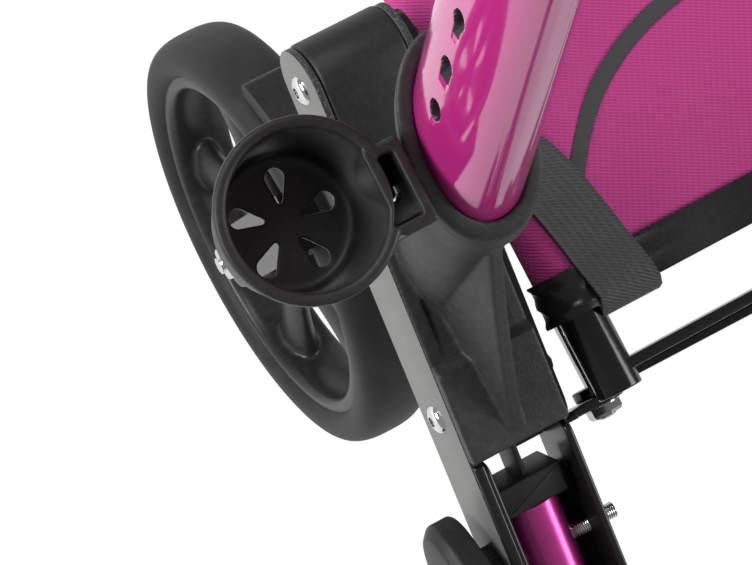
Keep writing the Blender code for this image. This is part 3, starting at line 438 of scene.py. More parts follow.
def rounded(points, radius, steps=4, closed=True):
    """Rounds an outline: each corner becomes a parabola between the points a radius away on its sides."""
    corners = np.asarray(points, float)
    radii = np.broadcast_to(np.asarray(radius, float), len(corners))
    before, after = (np.roll(corners, way, axis=0) - corners for way in (1, -1))
    lengths = np.linalg.norm(before, axis=1), np.linalg.norm(after, axis=1)
    reach = np.minimum(radii, 0.49 * np.minimum(*lengths))
    start = corners + before * (reach / lengths[0])[:, None]
    end = corners + after * (reach / lengths[1])[:, None]
    t = np.linspace(0, 1, steps + 1)[None, :, None]
    arcs = (1 - t) ** 2 * start[:, None] + 2 * t * (1 - t) * corners[:, None] + t ** 2 * end[:, None]
    if closed:
        return arcs.reshape(-1, corners.shape[1])
    return np.vstack([corners[:1], arcs[1:-1].reshape(-1, corners.shape[1]), corners[-1:]])


def turned(profile, centre, axis, steps=64, looped=False, waist=None):
    """Revolves (radius, along) points about an axis. Waist, if given, scales the radius by angle."""
    profile = np.asarray(profile, float)
    turn = Vector(axis).normalized().to_track_quat("Z", "Y").to_matrix()
    angle = np.linspace(0, TURN, steps, endpoint=False)[None, :]
    radius = np.broadcast_to(profile[:, :1], (len(profile), steps))
    if waist is not None:
        radius = radius * waist(angle)
    along = np.broadcast_to(profile[:, 1:], radius.shape)
    rings = np.stack([radius * np.cos(angle), radius * np.sin(angle), along], axis=-1)
    return skin(rings @ np.array(turn).T + np.array(centre), looped)


def pipe(profile, ease, home, axis, steps, corner_steps):
    """A tube of a closed (radius, along) profile, about an axis of a frame and from the frame's place."""
    loop = rounded(profile, ease, corner_steps)
    return turned(loop, home.translation, home.to_3x3() @ Vector(axis), steps, looped=True)


def slab(outline, low, high, edge, matrix, steps=3):
    """A plate of an outline (x, y) from low to high, its edges rounded: each ring is the outline moved in
    along its normals by edge·(1 - sin a) at the height low + edge·(1 - cos a), and likewise at the top."""
    outline = np.asarray(outline, float)
    following = np.roll(outline, -1, axis=0)
    sides = following - outline, outline - np.roll(outline, 1, axis=0)
    lines = [np.stack([side[:, 1], -side[:, 0]], -1) for side in sides]
    lines = [line / np.linalg.norm(line, axis=1)[:, None] for line in lines]
    between = lines[0] + lines[1]
    normal = between / np.maximum(np.sum(between * lines[0], axis=1), 0.35)[:, None]
    area = np.sum(outline[:, 0] * following[:, 1] - following[:, 0] * outline[:, 1])
    normal *= math.copysign(1, area)
    angle = np.linspace(0, math.pi / 2, steps + 1)
    inset, rise = edge * (1 - np.sin(angle)), edge * (1 - np.cos(angle))
    insets, heights = np.concatenate([inset, inset[::-1]]), np.concatenate([low + rise, high - rise[::-1]])
    flat = outline[None] - normal[None] * insets[:, None, None]
    height = np.broadcast_to(heights[:, None, None], (*flat.shape[:2], 1))
    return skin(placed(np.concatenate([flat, height], axis=-1), matrix))


def swept(path, section, up, scale=None):
    """Carries a closed section along a path: its x lies square to the heading, and its y nearest to up."""
    path = np.asarray(path, float)
    heading = np.gradient(path, axis=0)
    heading /= np.linalg.norm(heading, axis=1)[:, None]
    side = np.cross(heading, np.asarray(up, float))
    side /= np.linalg.norm(side, axis=1)[:, None]
    rise = np.cross(side, heading)
    size = np.ones(len(path)) if scale is None else scale
    spread = section[None, :, :1] * side[:, None] + section[None, :, 1:] * rise[:, None]
    return skin(path[:, None] + size[:, None, None] * spread)


def lengths_along(path):
    """The distance run from a path's start to each of its points."""
    return np.cumsum(np.linalg.norm(np.diff(path, axis=0, prepend=path[:1]), axis=1))


def arc(centre, radius, start, end, steps):
    """Points of an arc about a centre, from one angle to another."""
    angle = np.linspace(start, end, steps)
    return centre + radius * np.stack([np.cos(angle), np.sin(angle)], -1)


def circle(radius, steps):
    return arc((0, 0), radius, 0, TURN, steps + 1)[:-1]


def spin(angle):
    """What rows of (x, y) are multiplied by to turn them by an angle."""
    cos, sin = math.cos(angle), math.sin(angle)
    return np.array(((cos, sin), (-sin, cos)))


def powered(value, power):
    """A power that keeps the value's sign."""
    return np.sign(value) * np.abs(value) ** power


def modifier(piece, kind, **settings):
    made = piece.modifiers.new(kind.lower(), kind)
    for name, setting in settings.items():
        setattr(made, name, setting)


def fused(name, shape, voxel, soften, cut=None):
    """One moulded skin of overlapping closed shapes: voxels join them, what is cut comes off, and smoothing
    leaves a fillet in each corner."""
    piece = linked(name, shape)
    modifier(piece, "REMESH", mode="VOXEL", voxel_size=voxel)
    if cut is not None:
        cutter = linked("cutter", cut)
        modifier(piece, "BOOLEAN", object=cutter, use_self=True)
        modifier(piece, "REMESH", mode="VOXEL", voxel_size=voxel)
    modifier(piece, "SMOOTH", factor=0.5, iterations=soften)
    settled = bpy.data.meshes.new_from_object(piece.evaluated_get(bpy.context.evaluated_depsgraph_get()))
    piece.modifiers.clear()
    piece.data = settled
    if cut is not None:
        bpy.data.objects.remove(cutter)
    return piece


EDGE_ROUND = 0.0008


def softened(node):
    """A finished copy of a CAD node: merged, its flat faces made whole, its sharp edges bevelled round."""
    mesh = nodes[node].data.copy()
    mesh.materials.clear()
    bm = bmesh.new()
    bm.from_mesh(mesh)
    bmesh.ops.remove_doubles(bm, verts=bm.verts, dist=0.00002)
    bmesh.ops.dissolve_limit(bm, angle_limit=math.radians(1), verts=bm.verts, edges=bm.edges)
    bm.to_mesh(mesh)
    bm.free()
    piece = added(node + "_dressed", mesh)
    modifier(piece, "BEVEL", width=EDGE_ROUND, segments=3, limit_method="ANGLE", angle_limit=math.radians(35))
    return stand_in(piece, SLOT_LOOKS[node_slots[node]], node, 40)


def camera():
    """The photograph's camera: a long lens steeply above, outwards of the right side."""
    right, upward = Vector(CAMERA_RIGHT).normalized(), Vector(CAMERA_UP)
    upward = (upward - right * upward.dot(right)).normalized()
    made = added("camera", bpy.data.cameras.new("camera"))
    made.data.sensor_width = SENSOR * 1000
    made.data.lens = FOCAL_PIXELS / PHOTO_WIDTH * SENSOR * 1000
    made.data.clip_end = 100
    made.matrix_world = grid_frame(drawn(*CAMERA_PLACE), right, upward, right.cross(upward))
    bpy.context.scene.camera = made


def lamp(name, place, aim, size, power):
    """A soft square lamp that faces a point."""
    made = added(name, bpy.data.lights.new(name, "AREA"))
    made.data.shape = "RECTANGLE"
    made.data.size, made.data.size_y = size
    made.data.energy = power
    turn = (Vector(place) - Vector(aim)).to_track_quat("Z", "Y")
    made.matrix_world = Matrix.Translation(place) @ turn.to_matrix().to_4x4()


def studio():
    """A white room: pale floor and sky, white to the camera and to reflections, with three soft lamps."""
    world = bpy.data.worlds.new("studio")
    bpy.context.scene.world = world
    world.use_nodes = True
    back = world.node_tree.nodes["Background"]
    seen, mirrored = Paint(world.node_tree).rays()
    strength = 0.20 + seen * 0.80 + mirrored * 0.10
    world.node_tree.links.new(strength.socket, back.inputs["Strength"])
    back.inputs["Color"].default_value = (1, 1, 1, 1)
    lamp("key", (2.3, -0.9, 1.5), (0.25, -0.1, 0.4), (1.5, 1.1), 62)
    lamp("rim", (-1.9, 0.9, 1.7), (0.2, -0.1, 0.4), (1.3, 1.3), 40)
    lamp("top", (0.5, -1.9, 2.4), (0.2, -0.1, 0.4), (1.0, 0.7), 22)
    corners = np.array([(*corner, 0) for corner in oblong(-30, 30, -30, 30)])
    floor = linked("floor", (corners, [(0, 1, 2, 3)]))
    floor.data.materials.append(pale_floor())
    bpy.context.scene.view_settings.view_transform = "Standard"


def pale_floor():
    """White floor that keeps shadows but renders near white: plain emission lifts the shader's light for
    rays from the camera and from reflections."""
    look = Finish("pale_floor", base_color=(0.88, 0.88, 0.88), roughness=0.9, specular_ior_level=0.1)
    seen, mirrored = look.paint.rays()
    glow = look.paint.node("Emission", None, {"Color": (1, 1, 1, 1), "Strength": 1.05})
    shader = Paint(look.tree, look.shader.outputs[0])
    joined = look.paint.node("MixShader", None, {0: seen * 0.90 + mirrored * 0.25, 1: shader, 2: glow})
    look.tree.links.new(joined.socket, look.tree.nodes["Material Output"].inputs["Surface"])
    return look.material


# Wheels
TYRE_DEPTH = 0.024
TYRE_HALF = 0.022
SPOKES = 5
SPOKE_HALF = (0.0125, 0.0062)
HUB_R = 0.019
HUB_HALF = 0.027
AXLE_R = 0.005
AXLE_OUT = 0.008
NUT_SHARE = 0.62  # of what stands out of the fork, the nut before the thread
THREAD_PITCH = 0.00125
WASHER = 0.001


def tyre(radius):
    """A fat round tyre: in section a superellipse, half depth·cos^0.8 out and half width·sin^0.72 across."""
    angle = np.linspace(0, TURN, 56, endpoint=False)
    cos, sin = np.cos(angle), np.sin(angle)
    deep = radius - TYRE_DEPTH / 2 + TYRE_DEPTH / 2 * powered(cos, 0.8)
    return np.stack([deep, TYRE_HALF * powered(sin, 0.72)], axis=-1)


def spoke(radius, turn):
    """A spoke from hub to rim: an oval, broadest at its two ends, where its size is 1 + 0.5·(2u - 1)²."""
    share = np.linspace(0, 1, 14)
    reach = HUB_R * 0.6 + share * (radius - HUB_R * 0.6)
    heading = np.array((0, math.sin(turn), math.cos(turn)))
    size = 1 + 0.5 * (2 * share - 1) ** 2
    return swept(reach[:, None] * heading, circle(1.0, 24) * SPOKE_HALF, X_AXIS, size)


def rim(radius):
    """Barrel with a lip each side, five spokes and a hub, as one moulding about the X axis."""
    edge, half = radius - TYRE_DEPTH, TYRE_HALF
    barrel = [(0.006, 0.78), (0.006, -0.78), (-0.004, -0.88), (-0.006, -0.55), (-0.004, 0), (-0.006, 0.55),
              (-0.004, 0.88)]
    barrel = rounded([(edge + out, half * share) for out, share in barrel], 0.004)
    hub = [(0.0001, -HUB_HALF), (HUB_R * 0.8, -HUB_HALF), (HUB_R, -HUB_HALF * 0.7)]
    hub = rounded(hub + [(out, -along) for out, along in hub[::-1]], 0.003, closed=False)
    spokes = [spoke(edge - 0.002, TURN * number / SPOKES) for number in range(SPOKES)]
    ring = turned(barrel, (0, 0, 0), X_AXIS, 120, looped=True)
    return together(ring, turned(hub, (0, 0, 0), X_AXIS, 48), *spokes)


def wheels():
    """The rim's moulding is made once for each size of wheel, and each side gets a copy."""
    for place in ("rear", "front"):
        low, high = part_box(f"{place}_tyre_right")
        radius = (high.z - low.z) / 2
        moulding = fused(f"{place}_rim_pattern", rim(radius), 0.0016, 6)
        for side, tag in SIDES.items():
            centre = middle(f"{place}_tyre_{tag}")
            skin_of_tyre = turned(tyre(radius), centre, X_AXIS, 160, looped=True)
            finished(skin_of_tyre, f"{place}_tyre_skin", side, "tyre", f"{place}_tyre", 60)
            mesh = moulding.data.copy()
            mesh.transform(Matrix.Translation(centre))
            stand_in(added(f"{place}_rim_moulding_{tag}", mesh), "rim", f"{place}_rim_{tag}", 60)
            finished(axle(f"{place}_axle_{tag}"), f"{place}_axle_bolt", side, "chrome", f"{place}_axle", 30)
        bpy.data.objects.remove(moulding)


def hexagon(angle):
    """How far a hexagon's side is from its middle, over its corner radius, for each angle."""
    return math.cos(math.pi / 6) / np.cos((angle + math.pi / 6) % (math.pi / 3) - math.pi / 6)


def nut(start, axis, radius, height):
    """A hex nut with a chamfer on its outer face, over a thin washer."""
    washer = rounded(oblong(0, radius * 1.02, 0, WASHER), 0.0002, 2, False)
    wide = radius * 0.99
    corners = [(0.0, WASHER), (wide, WASHER), (wide, height * 0.75), (radius * 0.86, height), (0, height)]
    return together(turned(washer, start, axis, 48), turned(corners, start, axis, 72, waist=hexagon))


def screw_end(start, axis, radius, length):
    """A threaded end: the radius falls and rises by a twelfth once per pitch, and closes in a chamfer."""
    along = np.linspace(0, length, max(2, int(length / THREAD_PITCH * 6)))
    depth = radius * (1 - 0.09 * (0.5 - 0.5 * np.cos(TURN * along / THREAD_PITCH)))
    depth[-2:] = radius * np.array([0.8, 0.55])
    return turned(np.vstack([[(0, 0)], np.stack([depth, along], -1), [(0, length)]]), start, axis, 32)


def button_head(start, axis, radius, height, socket=0.36):
    """A domed head with a hexagon socket: the dome is a quarter superellipse over a short straight side."""
    rise = np.linspace(0, math.pi / 2, 9)[:-1]
    dome = np.stack([radius * np.cos(rise) ** 0.9, height * (0.22 + 0.78 * np.sin(rise))], -1)
    dome = dome[dome[:, 0] > radius * (socket + 0.05)]
    recess = [(radius * socket, height * 0.93), (radius * socket, height * 0.4), (0, height * 0.4)]
    return turned(np.vstack([[(0, 0), (radius, 0)], dome, recess]), start, axis, 48)


def axle(node):
    """The wheel's axle: a shank through the fork with a hex nut and a short threaded end on each side."""
    low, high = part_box(node)
    end, reach = (high.x - low.x) / 2 - AXLE_OUT, (high.z - low.z) / 2
    shapes = [turned(oblong(0, AXLE_R, -end, end), middle(node), X_AXIS, 32)]
    for way in (-1, 1):
        axis, start = (way, 0, 0), middle(node) + Vector((way * end, 0, 0))
        shapes.append(nut(start, axis, reach, AXLE_OUT * NUT_SHARE))
        tip = start + Vector((way * AXLE_OUT * NUT_SHARE, 0, 0))
        shapes.append(screw_end(tip, axis, AXLE_R, AXLE_OUT * (1 - NUT_SHARE)))
    return together(*shapes)


# Cover and casting
COVER_POWER = 2.25
COVER_HALF = (0.0255, 0.0357)
COVER_START = 0.1205
COVER_END = 0.4095
COVER_CROWN = 0.013
SLITS = (0.2171, 0.2645, 0.3145)
SLIT_HALF = (0.0044, 0.0090)
SLIT_DEPTH = 0.006
SLIT_TURN = math.radians(2)
SLIT_SLANT = 0.25
MOUTH_AT = 0.169
MOUTH_SLOPE = 0.8
BLOCK_BACK = -0.1035
BLOCK_FRONT = 0.0215
BLOCK_HIGH = 0.030
BLOCK_HALF = 0.0247
SKIRT = 0.0288
BOSS_X = 0.312
BOSS_AT = (-0.221, 0.525)


def side_on(side):
    """The bar's axes in the order of an outline seen from outside: forwards, square to the bar, outwards."""
    return bar_frame(side) @ Matrix(((0, 0, 1, 0), (1, 0, 0, 0), (0, 1, 0, 0), (0, 0, 0, 1)))


def oval_direction(angle, power):
    """Points of |x|^p + |y|^p = 1 for each angle: the rounded oval of the cover."""
    cos, sin = np.cos(angle), np.sin(angle)
    size = (np.abs(cos) ** power + np.abs(sin) ** power) ** (-1 / power)
    return cos * size, sin * size


def crowded(low, high, step, spots, half, fine):
    """Numbers from low to high, a step apart but finer within half of each spot."""
    values = [low]
    while values[-1] < high:
        near = any(abs(values[-1] - spot) < half for spot in spots)
        values.append(values[-1] + (fine if near else step))
    return np.array(values[:-1] + [high])


def cover(side):
    """The oval cover. Three vents lie on its outer flank: where q = (|u/a|^2 + |v/b|^2)^(1/2) falls below 1,
    the surface goes in by 6 mm·smoothstep((1 - q)/0.16). The top closes by a quarter ellipse to the tube."""
    coarse, near, fine = (math.radians(degrees) for degrees in (4, 17, 0.9))
    angle = crowded(-math.pi / 2, 1.5 * math.pi, coarse, (0,), near, fine)[:-1]
    along = crowded(COVER_START, COVER_END - COVER_CROWN, 0.008, SLITS, 0.011, 0.0006)
    turn, height = np.meshgrid(angle, along)
    x, y = (half * share for half, share in zip(COVER_HALF, oval_direction(turn, COVER_POWER)))
    depth = np.zeros_like(turn)
    for spot in SLITS:
        aside = COVER_HALF[1] * (turn + SLIT_TURN)
        above = height - spot + SLIT_SLANT * COVER_HALF[1] * turn
        q = np.sqrt((aside / SLIT_HALF[0]) ** 2 + (above / SLIT_HALF[1]) ** 2)
        depth = np.maximum(depth, np.clip((1 - q) / 0.16, 0, 1))
    rings = [np.stack([x - SLIT_DEPTH * depth * depth * (3 - 2 * depth), y, height], -1)]
    for step in np.linspace(0, math.pi / 2, 9)[1:]:
        cos, top = math.cos(step), COVER_END - COVER_CROWN * (1 - math.sin(step))
        across, deep = x[-1] * (0.66 + 0.34 * cos), y[-1] * (0.5 + 0.5 * cos)
        rings.append(np.stack([across, deep, np.full_like(deep, top)], -1)[None])
    return skin(placed(np.concatenate(rings), upright_frame(side)))


def darken_vents(shell, side):
    """Black inside the vents, partly the black tube seen through the slots and partly painted shade of the
    space under them: faces with (|x/a|^p + |y/b|^p)^(1/p) below 0.985 lie under the oval skin.
    """
    shell.data.materials.append(looks["plastic"])
    home = upright_frame(side).inverted()
    for polygon in shell.data.polygons:
        place = home @ polygon.center
        powers = [abs(place[k] / COVER_HALF[k]) ** COVER_POWER for k in (0, 1)]
        level = COVER_START + 0.01 < place.z < COVER_END - 0.02
        polygon.material_index = int(sum(powers) ** (1 / COVER_POWER) < 0.985 and level)


def socket(side):
    """The oval cone that holds the upright, with a thick collar along its mouth at t = 0.169 - 0.8·y."""
    x, y = oval_direction(np.linspace(0, TURN, 96, endpoint=False), 2.1)
    stations = [(-0.0045, 0.0, 0.0), (-0.0020, 0.35, 0.0), (0.0020, 0.70, 0.0), (0.0060, 1.0, 0.019)]
    collar = [(0.0062, 0.016), (0.0088, 0.013), (0.0092, 0.0), (0.0004, 0.0), (0.0004, 0.006)]
    collar = rounded(collar, 0.0035, 5, False)
    rings = []
    for out, share, below in stations + [(out, 1.0, below) for out, below in collar]:
        across, deep = (COVER_HALF[0] + out) * x, (COVER_HALF[1] + out) * y
        rings.append(np.stack([across, deep, share * (MOUTH_AT - MOUTH_SLOPE * deep - below)], -1))
    floor = rings[-1].copy()
    floor[:, 2] = COVER_START - 0.001
    return skin(placed(np.array(rings + [floor]), upright_frame(side)))


def rib(side):
    """The rib from the collar to the front end. Its outer flank spreads at the foot by 14 mm·(1 - u)^1.1."""
    home = bar_frame(side)
    start = np.array(home.inverted() @ upright_frame(side) @ Vector((0, 0.034, 0.122)))[1:]
    end = np.array((BLOCK_FRONT - 0.0005, BLOCK_HIGH - 0.0035))
    bend = (start + end) / 2 - 0.006
    u = np.linspace(0, 1, 24)[:, None]
    forward, crest = np.hsplit((1 - u) ** 2 * start + 2 * u * (1 - u) * bend + u ** 2 * end, 2)
    foot = 0.0060 + 0.014 * (1 - u) ** 1.1
    out = np.hstack([foot, np.tile((0.0046, 0.0034, -0.0034, -0.0042, -0.0046), (len(u), 1))])
    low, edge = np.minimum(0.018, crest - 0.010), crest - 0.002
    up = np.hstack([low, edge, crest, crest, edge, low])
    return skin(placed(np.stack([out, np.broadcast_to(forward, out.shape), up], -1), home))


def casting(side):
    """Block with its brims and cheek, socket, rib and boss, as one moulding."""
    top = [(BLOCK_FRONT, BLOCK_HIGH), (-0.030, BLOCK_HIGH - 0.0006), (-0.034, BLOCK_HIGH - 0.0055)]
    block = (BLOCK_BACK, -BLOCK_HIGH, 0.019)
    brim = (BLOCK_BACK, 0.0224, 0.0236)
    cheek = (-0.0445, -BLOCK_HIGH, BLOCK_HIGH - 0.007)
    shapes = []
    for (back, low, high), near, far in ((block, -BLOCK_HALF, BLOCK_HALF), (brim, 0.020, SKIRT),
                                         (brim, -SKIRT, -0.020), (cheek, -SKIRT, -0.020)):
        outline = [(back, low), (BLOCK_FRONT, low), *top, (back, high)]
        shapes.append(slab(outline, near, far, 0.0008, side_on(side), 2))
    start, reach = drawn(side * (BAR_X + 0.015), *BOSS_AT), BOSS_X - BAR_X - 0.0155
    boss = rounded([(0, 0), (0.0185, 0), (0.0175, reach), (0, reach)], 0.002, 3, False)
    return together(*shapes, socket(side), rib(side), turned(boss, start, (side, 0, 0), 48))


def hub(side):
    darken_vents(finished(cover(side), "cover_shell", side, "magenta", "upright_cover", 80), side)
    tag = SIDES[side]
    stand_in(fused(f"casting_{tag}", casting(side), 0.0010, 1), "casting", f"hub_casting_{tag}", 70)


# Cup holder
CUP_AT = (0.368, -0.231)
CUP_FLOOR = 0.524
CUP_TOP = 0.576
CUP_R = 0.046
CUP_WALL_R = 0.0408
CUP_FLOOR_R = 0.0362
CUP_WALL = 0.0028
PETALS = 5
PETAL_TURN = math.radians(39)
PETAL_ENDS = ((0.023, 0.005), (0.0115, 0.0015))  # how far out each arc's middle is, and its radius
FLANGE_Y = (-0.2445, -0.1985)
FLANGE_LOW = 0.500
FLANGE_WALL = (0.0058, 0.0062)


def petal(turn):
    """A teardrop: a 5 mm arc 23 mm out and a 1.5 mm arc 11.5 mm out, joined by straight sides."""
    ends = zip(PETAL_ENDS, (math.pi / 2, -math.pi / 2), (13, 7))
    points = [arc((out, 0), radius, start, start - math.pi, steps) for (out, radius), start, steps in ends]
    return np.vstack(points) @ spin(turn) + CUP_AT


def pocket():
    """Plan of the pocket between the cup's wall and the flange's outer wall."""
    side, end = FLANGE_WALL
    back, front = FLANGE_Y[0] + end, FLANGE_Y[1] - end
    y = np.linspace(front, back, 13)
    wall = CUP_AT[0] - np.sqrt((CUP_WALL_R + 0.0012) ** 2 - (y - CUP_AT[1]) ** 2)
    corners = [(BOSS_X + side, back), (BOSS_X + side, front)]
    return rounded(np.vstack([corners, np.stack([wall, y], -1)]), 0.001, 2)


def cup():
    """Cup, lip and flange, less the five teardrops and the pocket."""
    profile = np.array([
        (0.0002, CUP_FLOOR, 0.001), (CUP_FLOOR_R, CUP_FLOOR, 0.003),
        (CUP_WALL_R + 0.0015, CUP_TOP - 0.007, 0.002), (CUP_R, CUP_TOP - 0.0055, 0.0012),
        (CUP_R, CUP_TOP, 0.0022), (CUP_R - 0.0062, CUP_TOP, 0.0035),
        (CUP_WALL_R - 0.0022, CUP_TOP - 0.006, 0.004),
        (CUP_FLOOR_R - 0.002, CUP_FLOOR + CUP_WALL, 0.005), (0.0002, CUP_FLOOR + CUP_WALL, 0.001)])
    shell = turned(rounded(profile[:, :2], profile[:, 2], 4), drawn(*CUP_AT, 0), Z_AXIS, 144, looped=True)
    home = Matrix.Translation(SHIFT)
    plan = oblong(BOSS_X + 0.0002, CUP_AT[0] - CUP_WALL_R * 0.88, *FLANGE_Y)
    flange = slab(rounded(plan, 0.0028, 4), FLANGE_LOW, CUP_TOP - 0.0003, 0.0012, home)
    cuts = [slab(pocket(), FLANGE_LOW + 0.006, CUP_TOP + 0.01, 0.0, home, 1)]
    for number in range(PETALS):
        hole = petal(PETAL_TURN + TURN * number / PETALS)
        cuts.append(slab(hole, CUP_FLOOR - 0.01, CUP_FLOOR + 0.01, 0.0, home, 1))
    piece = fused("cup_moulding", together(shell, flange), 0.0008, 3, together(*cuts))
    stand_in(piece, "plastic", "cup_holder", 60)
    screw = button_head(drawn(BOSS_X + 0.0056, BOSS_AT[0], 0.547), X_AXIS, 0.0062, 0.0042)
    extra(screw, "cup_screw", 1, "chrome", "hub_casting")


# Side bar, from the front bolt
BOLT_BACK = -0.189
BOLTS = {"rear_bolt": BOLT_BACK, "front_bolt": 0.0}
PLATE_HALF = 0.022
PLATE_THICK = 0.004
PLATES = {"outer": (0.150, 0.025), "inner": (-0.045, -0.029)}  # front end, and near face across the bar
REAR_BLOCK_HALF = 0.0215
REAR_BLOCK_STEP = (-0.150, 0.012)
CHANNEL_SIDES = (-0.029, 0.0247)
CHANNEL_WALL = 0.0042
CHANNEL_HALF = 0.019
CHANNEL_LIP = 0.0262
CHANNEL_ENDS = (0.024, 0.150)
CHANNEL_EDGE = 0.0016
LEG_R = 0.0155
LEG_START = 0.0622
STEM_AT = (0.262, 0.297)
HEAD_R = 0.021
HEAD_LENGTH = 0.062
HEAD_BORE = 0.0092


def bar_bolts(side):
    """Rear and front bolts: a socket head outside, and a nut with its washer and a domed cap inside."""
    out = Vector((side, 0, 0))
    for name, s in BOLTS.items():
        at = bar_frame(side) @ Vector((0, s, 0))
        ends = sorted(abs(corner.x - SHIFT.x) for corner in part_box(f"{name}_{SIDES[side]}"))
        inner, outer = (Vector((side * x + SHIFT.x, at.y, at.z)) for x in ends)
        shank = turned(oblong(0, 0.0039, 0, abs(outer.x - inner.x) - 0.01), inner + out * 0.005, out, 24)
        head = button_head(outer - out * 0.005, out, 0.008, 0.005)
        grip = nut(inner + out * 0.005, -out, 0.008, 0.004)
        finished(together(shank, head, grip), f"{name}_metal", side, "chrome", name, 30)
        cap = rounded([(0, 0), (0.0052, 0), (0.0052, 0.002), (0.0, 0.004)], 0.002, 4, False)
        extra(turned(cap, inner + out * 0.0012, -out, 32), f"{name}_cap", side, "plastic", name)


def round_end(half):
    """A half circle round the rear bolt, from the upper edge over the back to the lower one."""
    return arc((BOLT_BACK, 0), half, math.pi / 2, 1.5 * math.pi, 24)


def plates(side):
    """The two steel plates of each bar: satin faces whose grey is a painted reflection of the white room, and
    darker, speckled sheared edges.
    """
    for name, (front, near) in PLATES.items():
        corner = rounded([(front, -PLATE_HALF), (front, PLATE_HALF)], 0.001, 1, False)
        outline = np.vstack([corner, round_end(PLATE_HALF)])
        shape = slab(outline, near, near + PLATE_THICK, 0.0006, side_on(side), 2)
        piece = finished(shape, f"{name}_plate_sheet", side, "plate", f"{name}_plate", 25)
        piece.data.materials.append(looks["edge"])
        # Faces square to x keep the grey painted reflection; the edges take the black speckled look.
        for polygon in piece.data.polygons:
            polygon.material_index = int(abs(polygon.normal.x) < 0.9)


def rear_block(side):
    """The moulded block between the plates, with a rounded back end and a lower step at its front."""
    front, half, (step, low) = BLOCK_BACK - 0.0006, REAR_BLOCK_HALF, REAR_BLOCK_STEP
    steps = [(front, -half), (front, low), (step, low), (step, half + 0.0012)]
    outline = np.vstack([rounded(steps, (0.001, 0.002, 0.003, 0.005), 5, False), round_end(half + 0.0012)])
    shape = slab(outline, -0.0243, 0.0243, 0.0022, side_on(side), 4)
    finished(shape, "block_moulding", side, "plastic", "rear_block", 40)


def channel(side):
    """The open channel, the plug in the leg's end, and the web and bridge from the casting to the plug."""
    home, (inner, outer), wall, half = bar_frame(side), CHANNEL_SIDES, CHANNEL_WALL, CHANNEL_HALF
    flank = rounded(oblong(*CHANNEL_ENDS, -half, CHANNEL_LIP), (0.002, 0.002, 0.002, 0.009), 5)
    over = rounded(oblong(*CHANNEL_ENDS, 0.0226, CHANNEL_LIP), (0.001, 0.001, 0.001, 0.003), 3)
    shapes = [slab(outline, near, far, CHANNEL_EDGE, side_on(side), 4)
              for outline, near, far in ((flank, inner, inner + wall), (flank, outer - wall, outer),
                                         (over, outer - 0.002, outer + wall))]
    floor = slab(oblong(inner + 0.001, outer - 0.001, 0.056, 0.1495), -half, wall - half, 0.0008, home, 2)
    finished(together(*shapes, floor), "channel_pressing", side, "satin_paint", "front_channel", 40)
    plug = slab(rounded(oblong(-0.0190, 0.0190, 0.0455, 0.0625), 0.0012, 3), -0.013, 0.0150, 0.0016, home, 4)
    web = slab(oblong(-0.0015, 0.0015, 0.021, 0.047), -0.012, 0.012, 0.0004, home, 2)
    extra(together(plug, web), "leg_plug", side, "plastic", "front_leg", 40)
    outline = rounded(oblong(inner + wall, -0.003, 0.027, 0.037), 0.001, 2)
    bridge = slab(outline, -0.012, -0.008, 0.0004, home, 2)
    # The bridge takes the plate look: its grey is a painted reflection on black paint.
    extra(bridge, "bridge_plate", side, "plate", "front_channel", 40)


def leg(side):
    """The front leg's round tube, and its castor head: a black cup with a domed top."""
    reach = (STEM_AT[1] - FRONT_BOLT[0]) / math.cos(BAR_TILT) - 0.016
    tube = pipe(oblong(LEG_R - 0.002, LEG_R, LEG_START, reach), 0.0006, bar_frame(side), Y_AXIS, 72, 2)
    finished(tube, "leg_tube", side, "leg", "front_leg", 40)
    bottom = drawn(side * STEM_AT[0], STEM_AT[1], 0)
    bottom.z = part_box(f"front_leg_{SIDES[side]}")[0].z
    shell = [(HEAD_BORE, 0), (HEAD_R, 0), (HEAD_R, HEAD_LENGTH), (HEAD_R * 0.6, HEAD_LENGTH + 0.004),
             (0.0001, HEAD_LENGTH + 0.005)]
    shell = rounded(shell, (0.001, 0.003, 0.004, 0.006, 0.001), 4, False)
    inside = [(0.0001, HEAD_LENGTH - 0.006), (HEAD_BORE, HEAD_LENGTH - 0.006)]
    head = turned(np.vstack([shell, inside]), bottom, Z_AXIS, 72, looped=True)
    extra(head, "castor_head", side, "plastic", "front_leg", 40)


# Knobs
LEG_KNOB_S = 0.090
KNOBS = {"leg_knob": (0.038, 0.030, 0.0145), "height_knob": (0.0155, 0.016, 0.0075)}  # radius, height, boss
KNOB_TURN = math.radians(180)


def hand_knob(place, axis, radius, height, boss):
    """A knob: a boss with 24 flutes, then a broad head of three lobes with a shallow recess in its crown."""
    neck = rounded(oblong(0, boss, 0.0004, height * 0.36), 0.001, 3, False)
    head = [(0, 0.34), (0.72, 0.34), (0.96, 0.36), (1.0, 0.42), (1.0, 0.80), (0.86, 0.97), (0.50, 1.0),
            (0.44, 0.95), (0, 0.95)]
    head = rounded(head, (0.0, 0.02, 0.04, 0.03, 0.05, 0.06, 0.03, 0.03, 0), 4, False) * (radius, height)

    def flutes(angle):
        return 1 + 0.035 * np.cos(24 * angle)

    def lobes(angle):
        return 1 + 0.11 * (np.cos(3 * (angle - KNOB_TURN)) - 1)

    return together(turned(neck, place, axis, 144, waist=flutes), turned(head, place, axis, 144, waist=lobes))


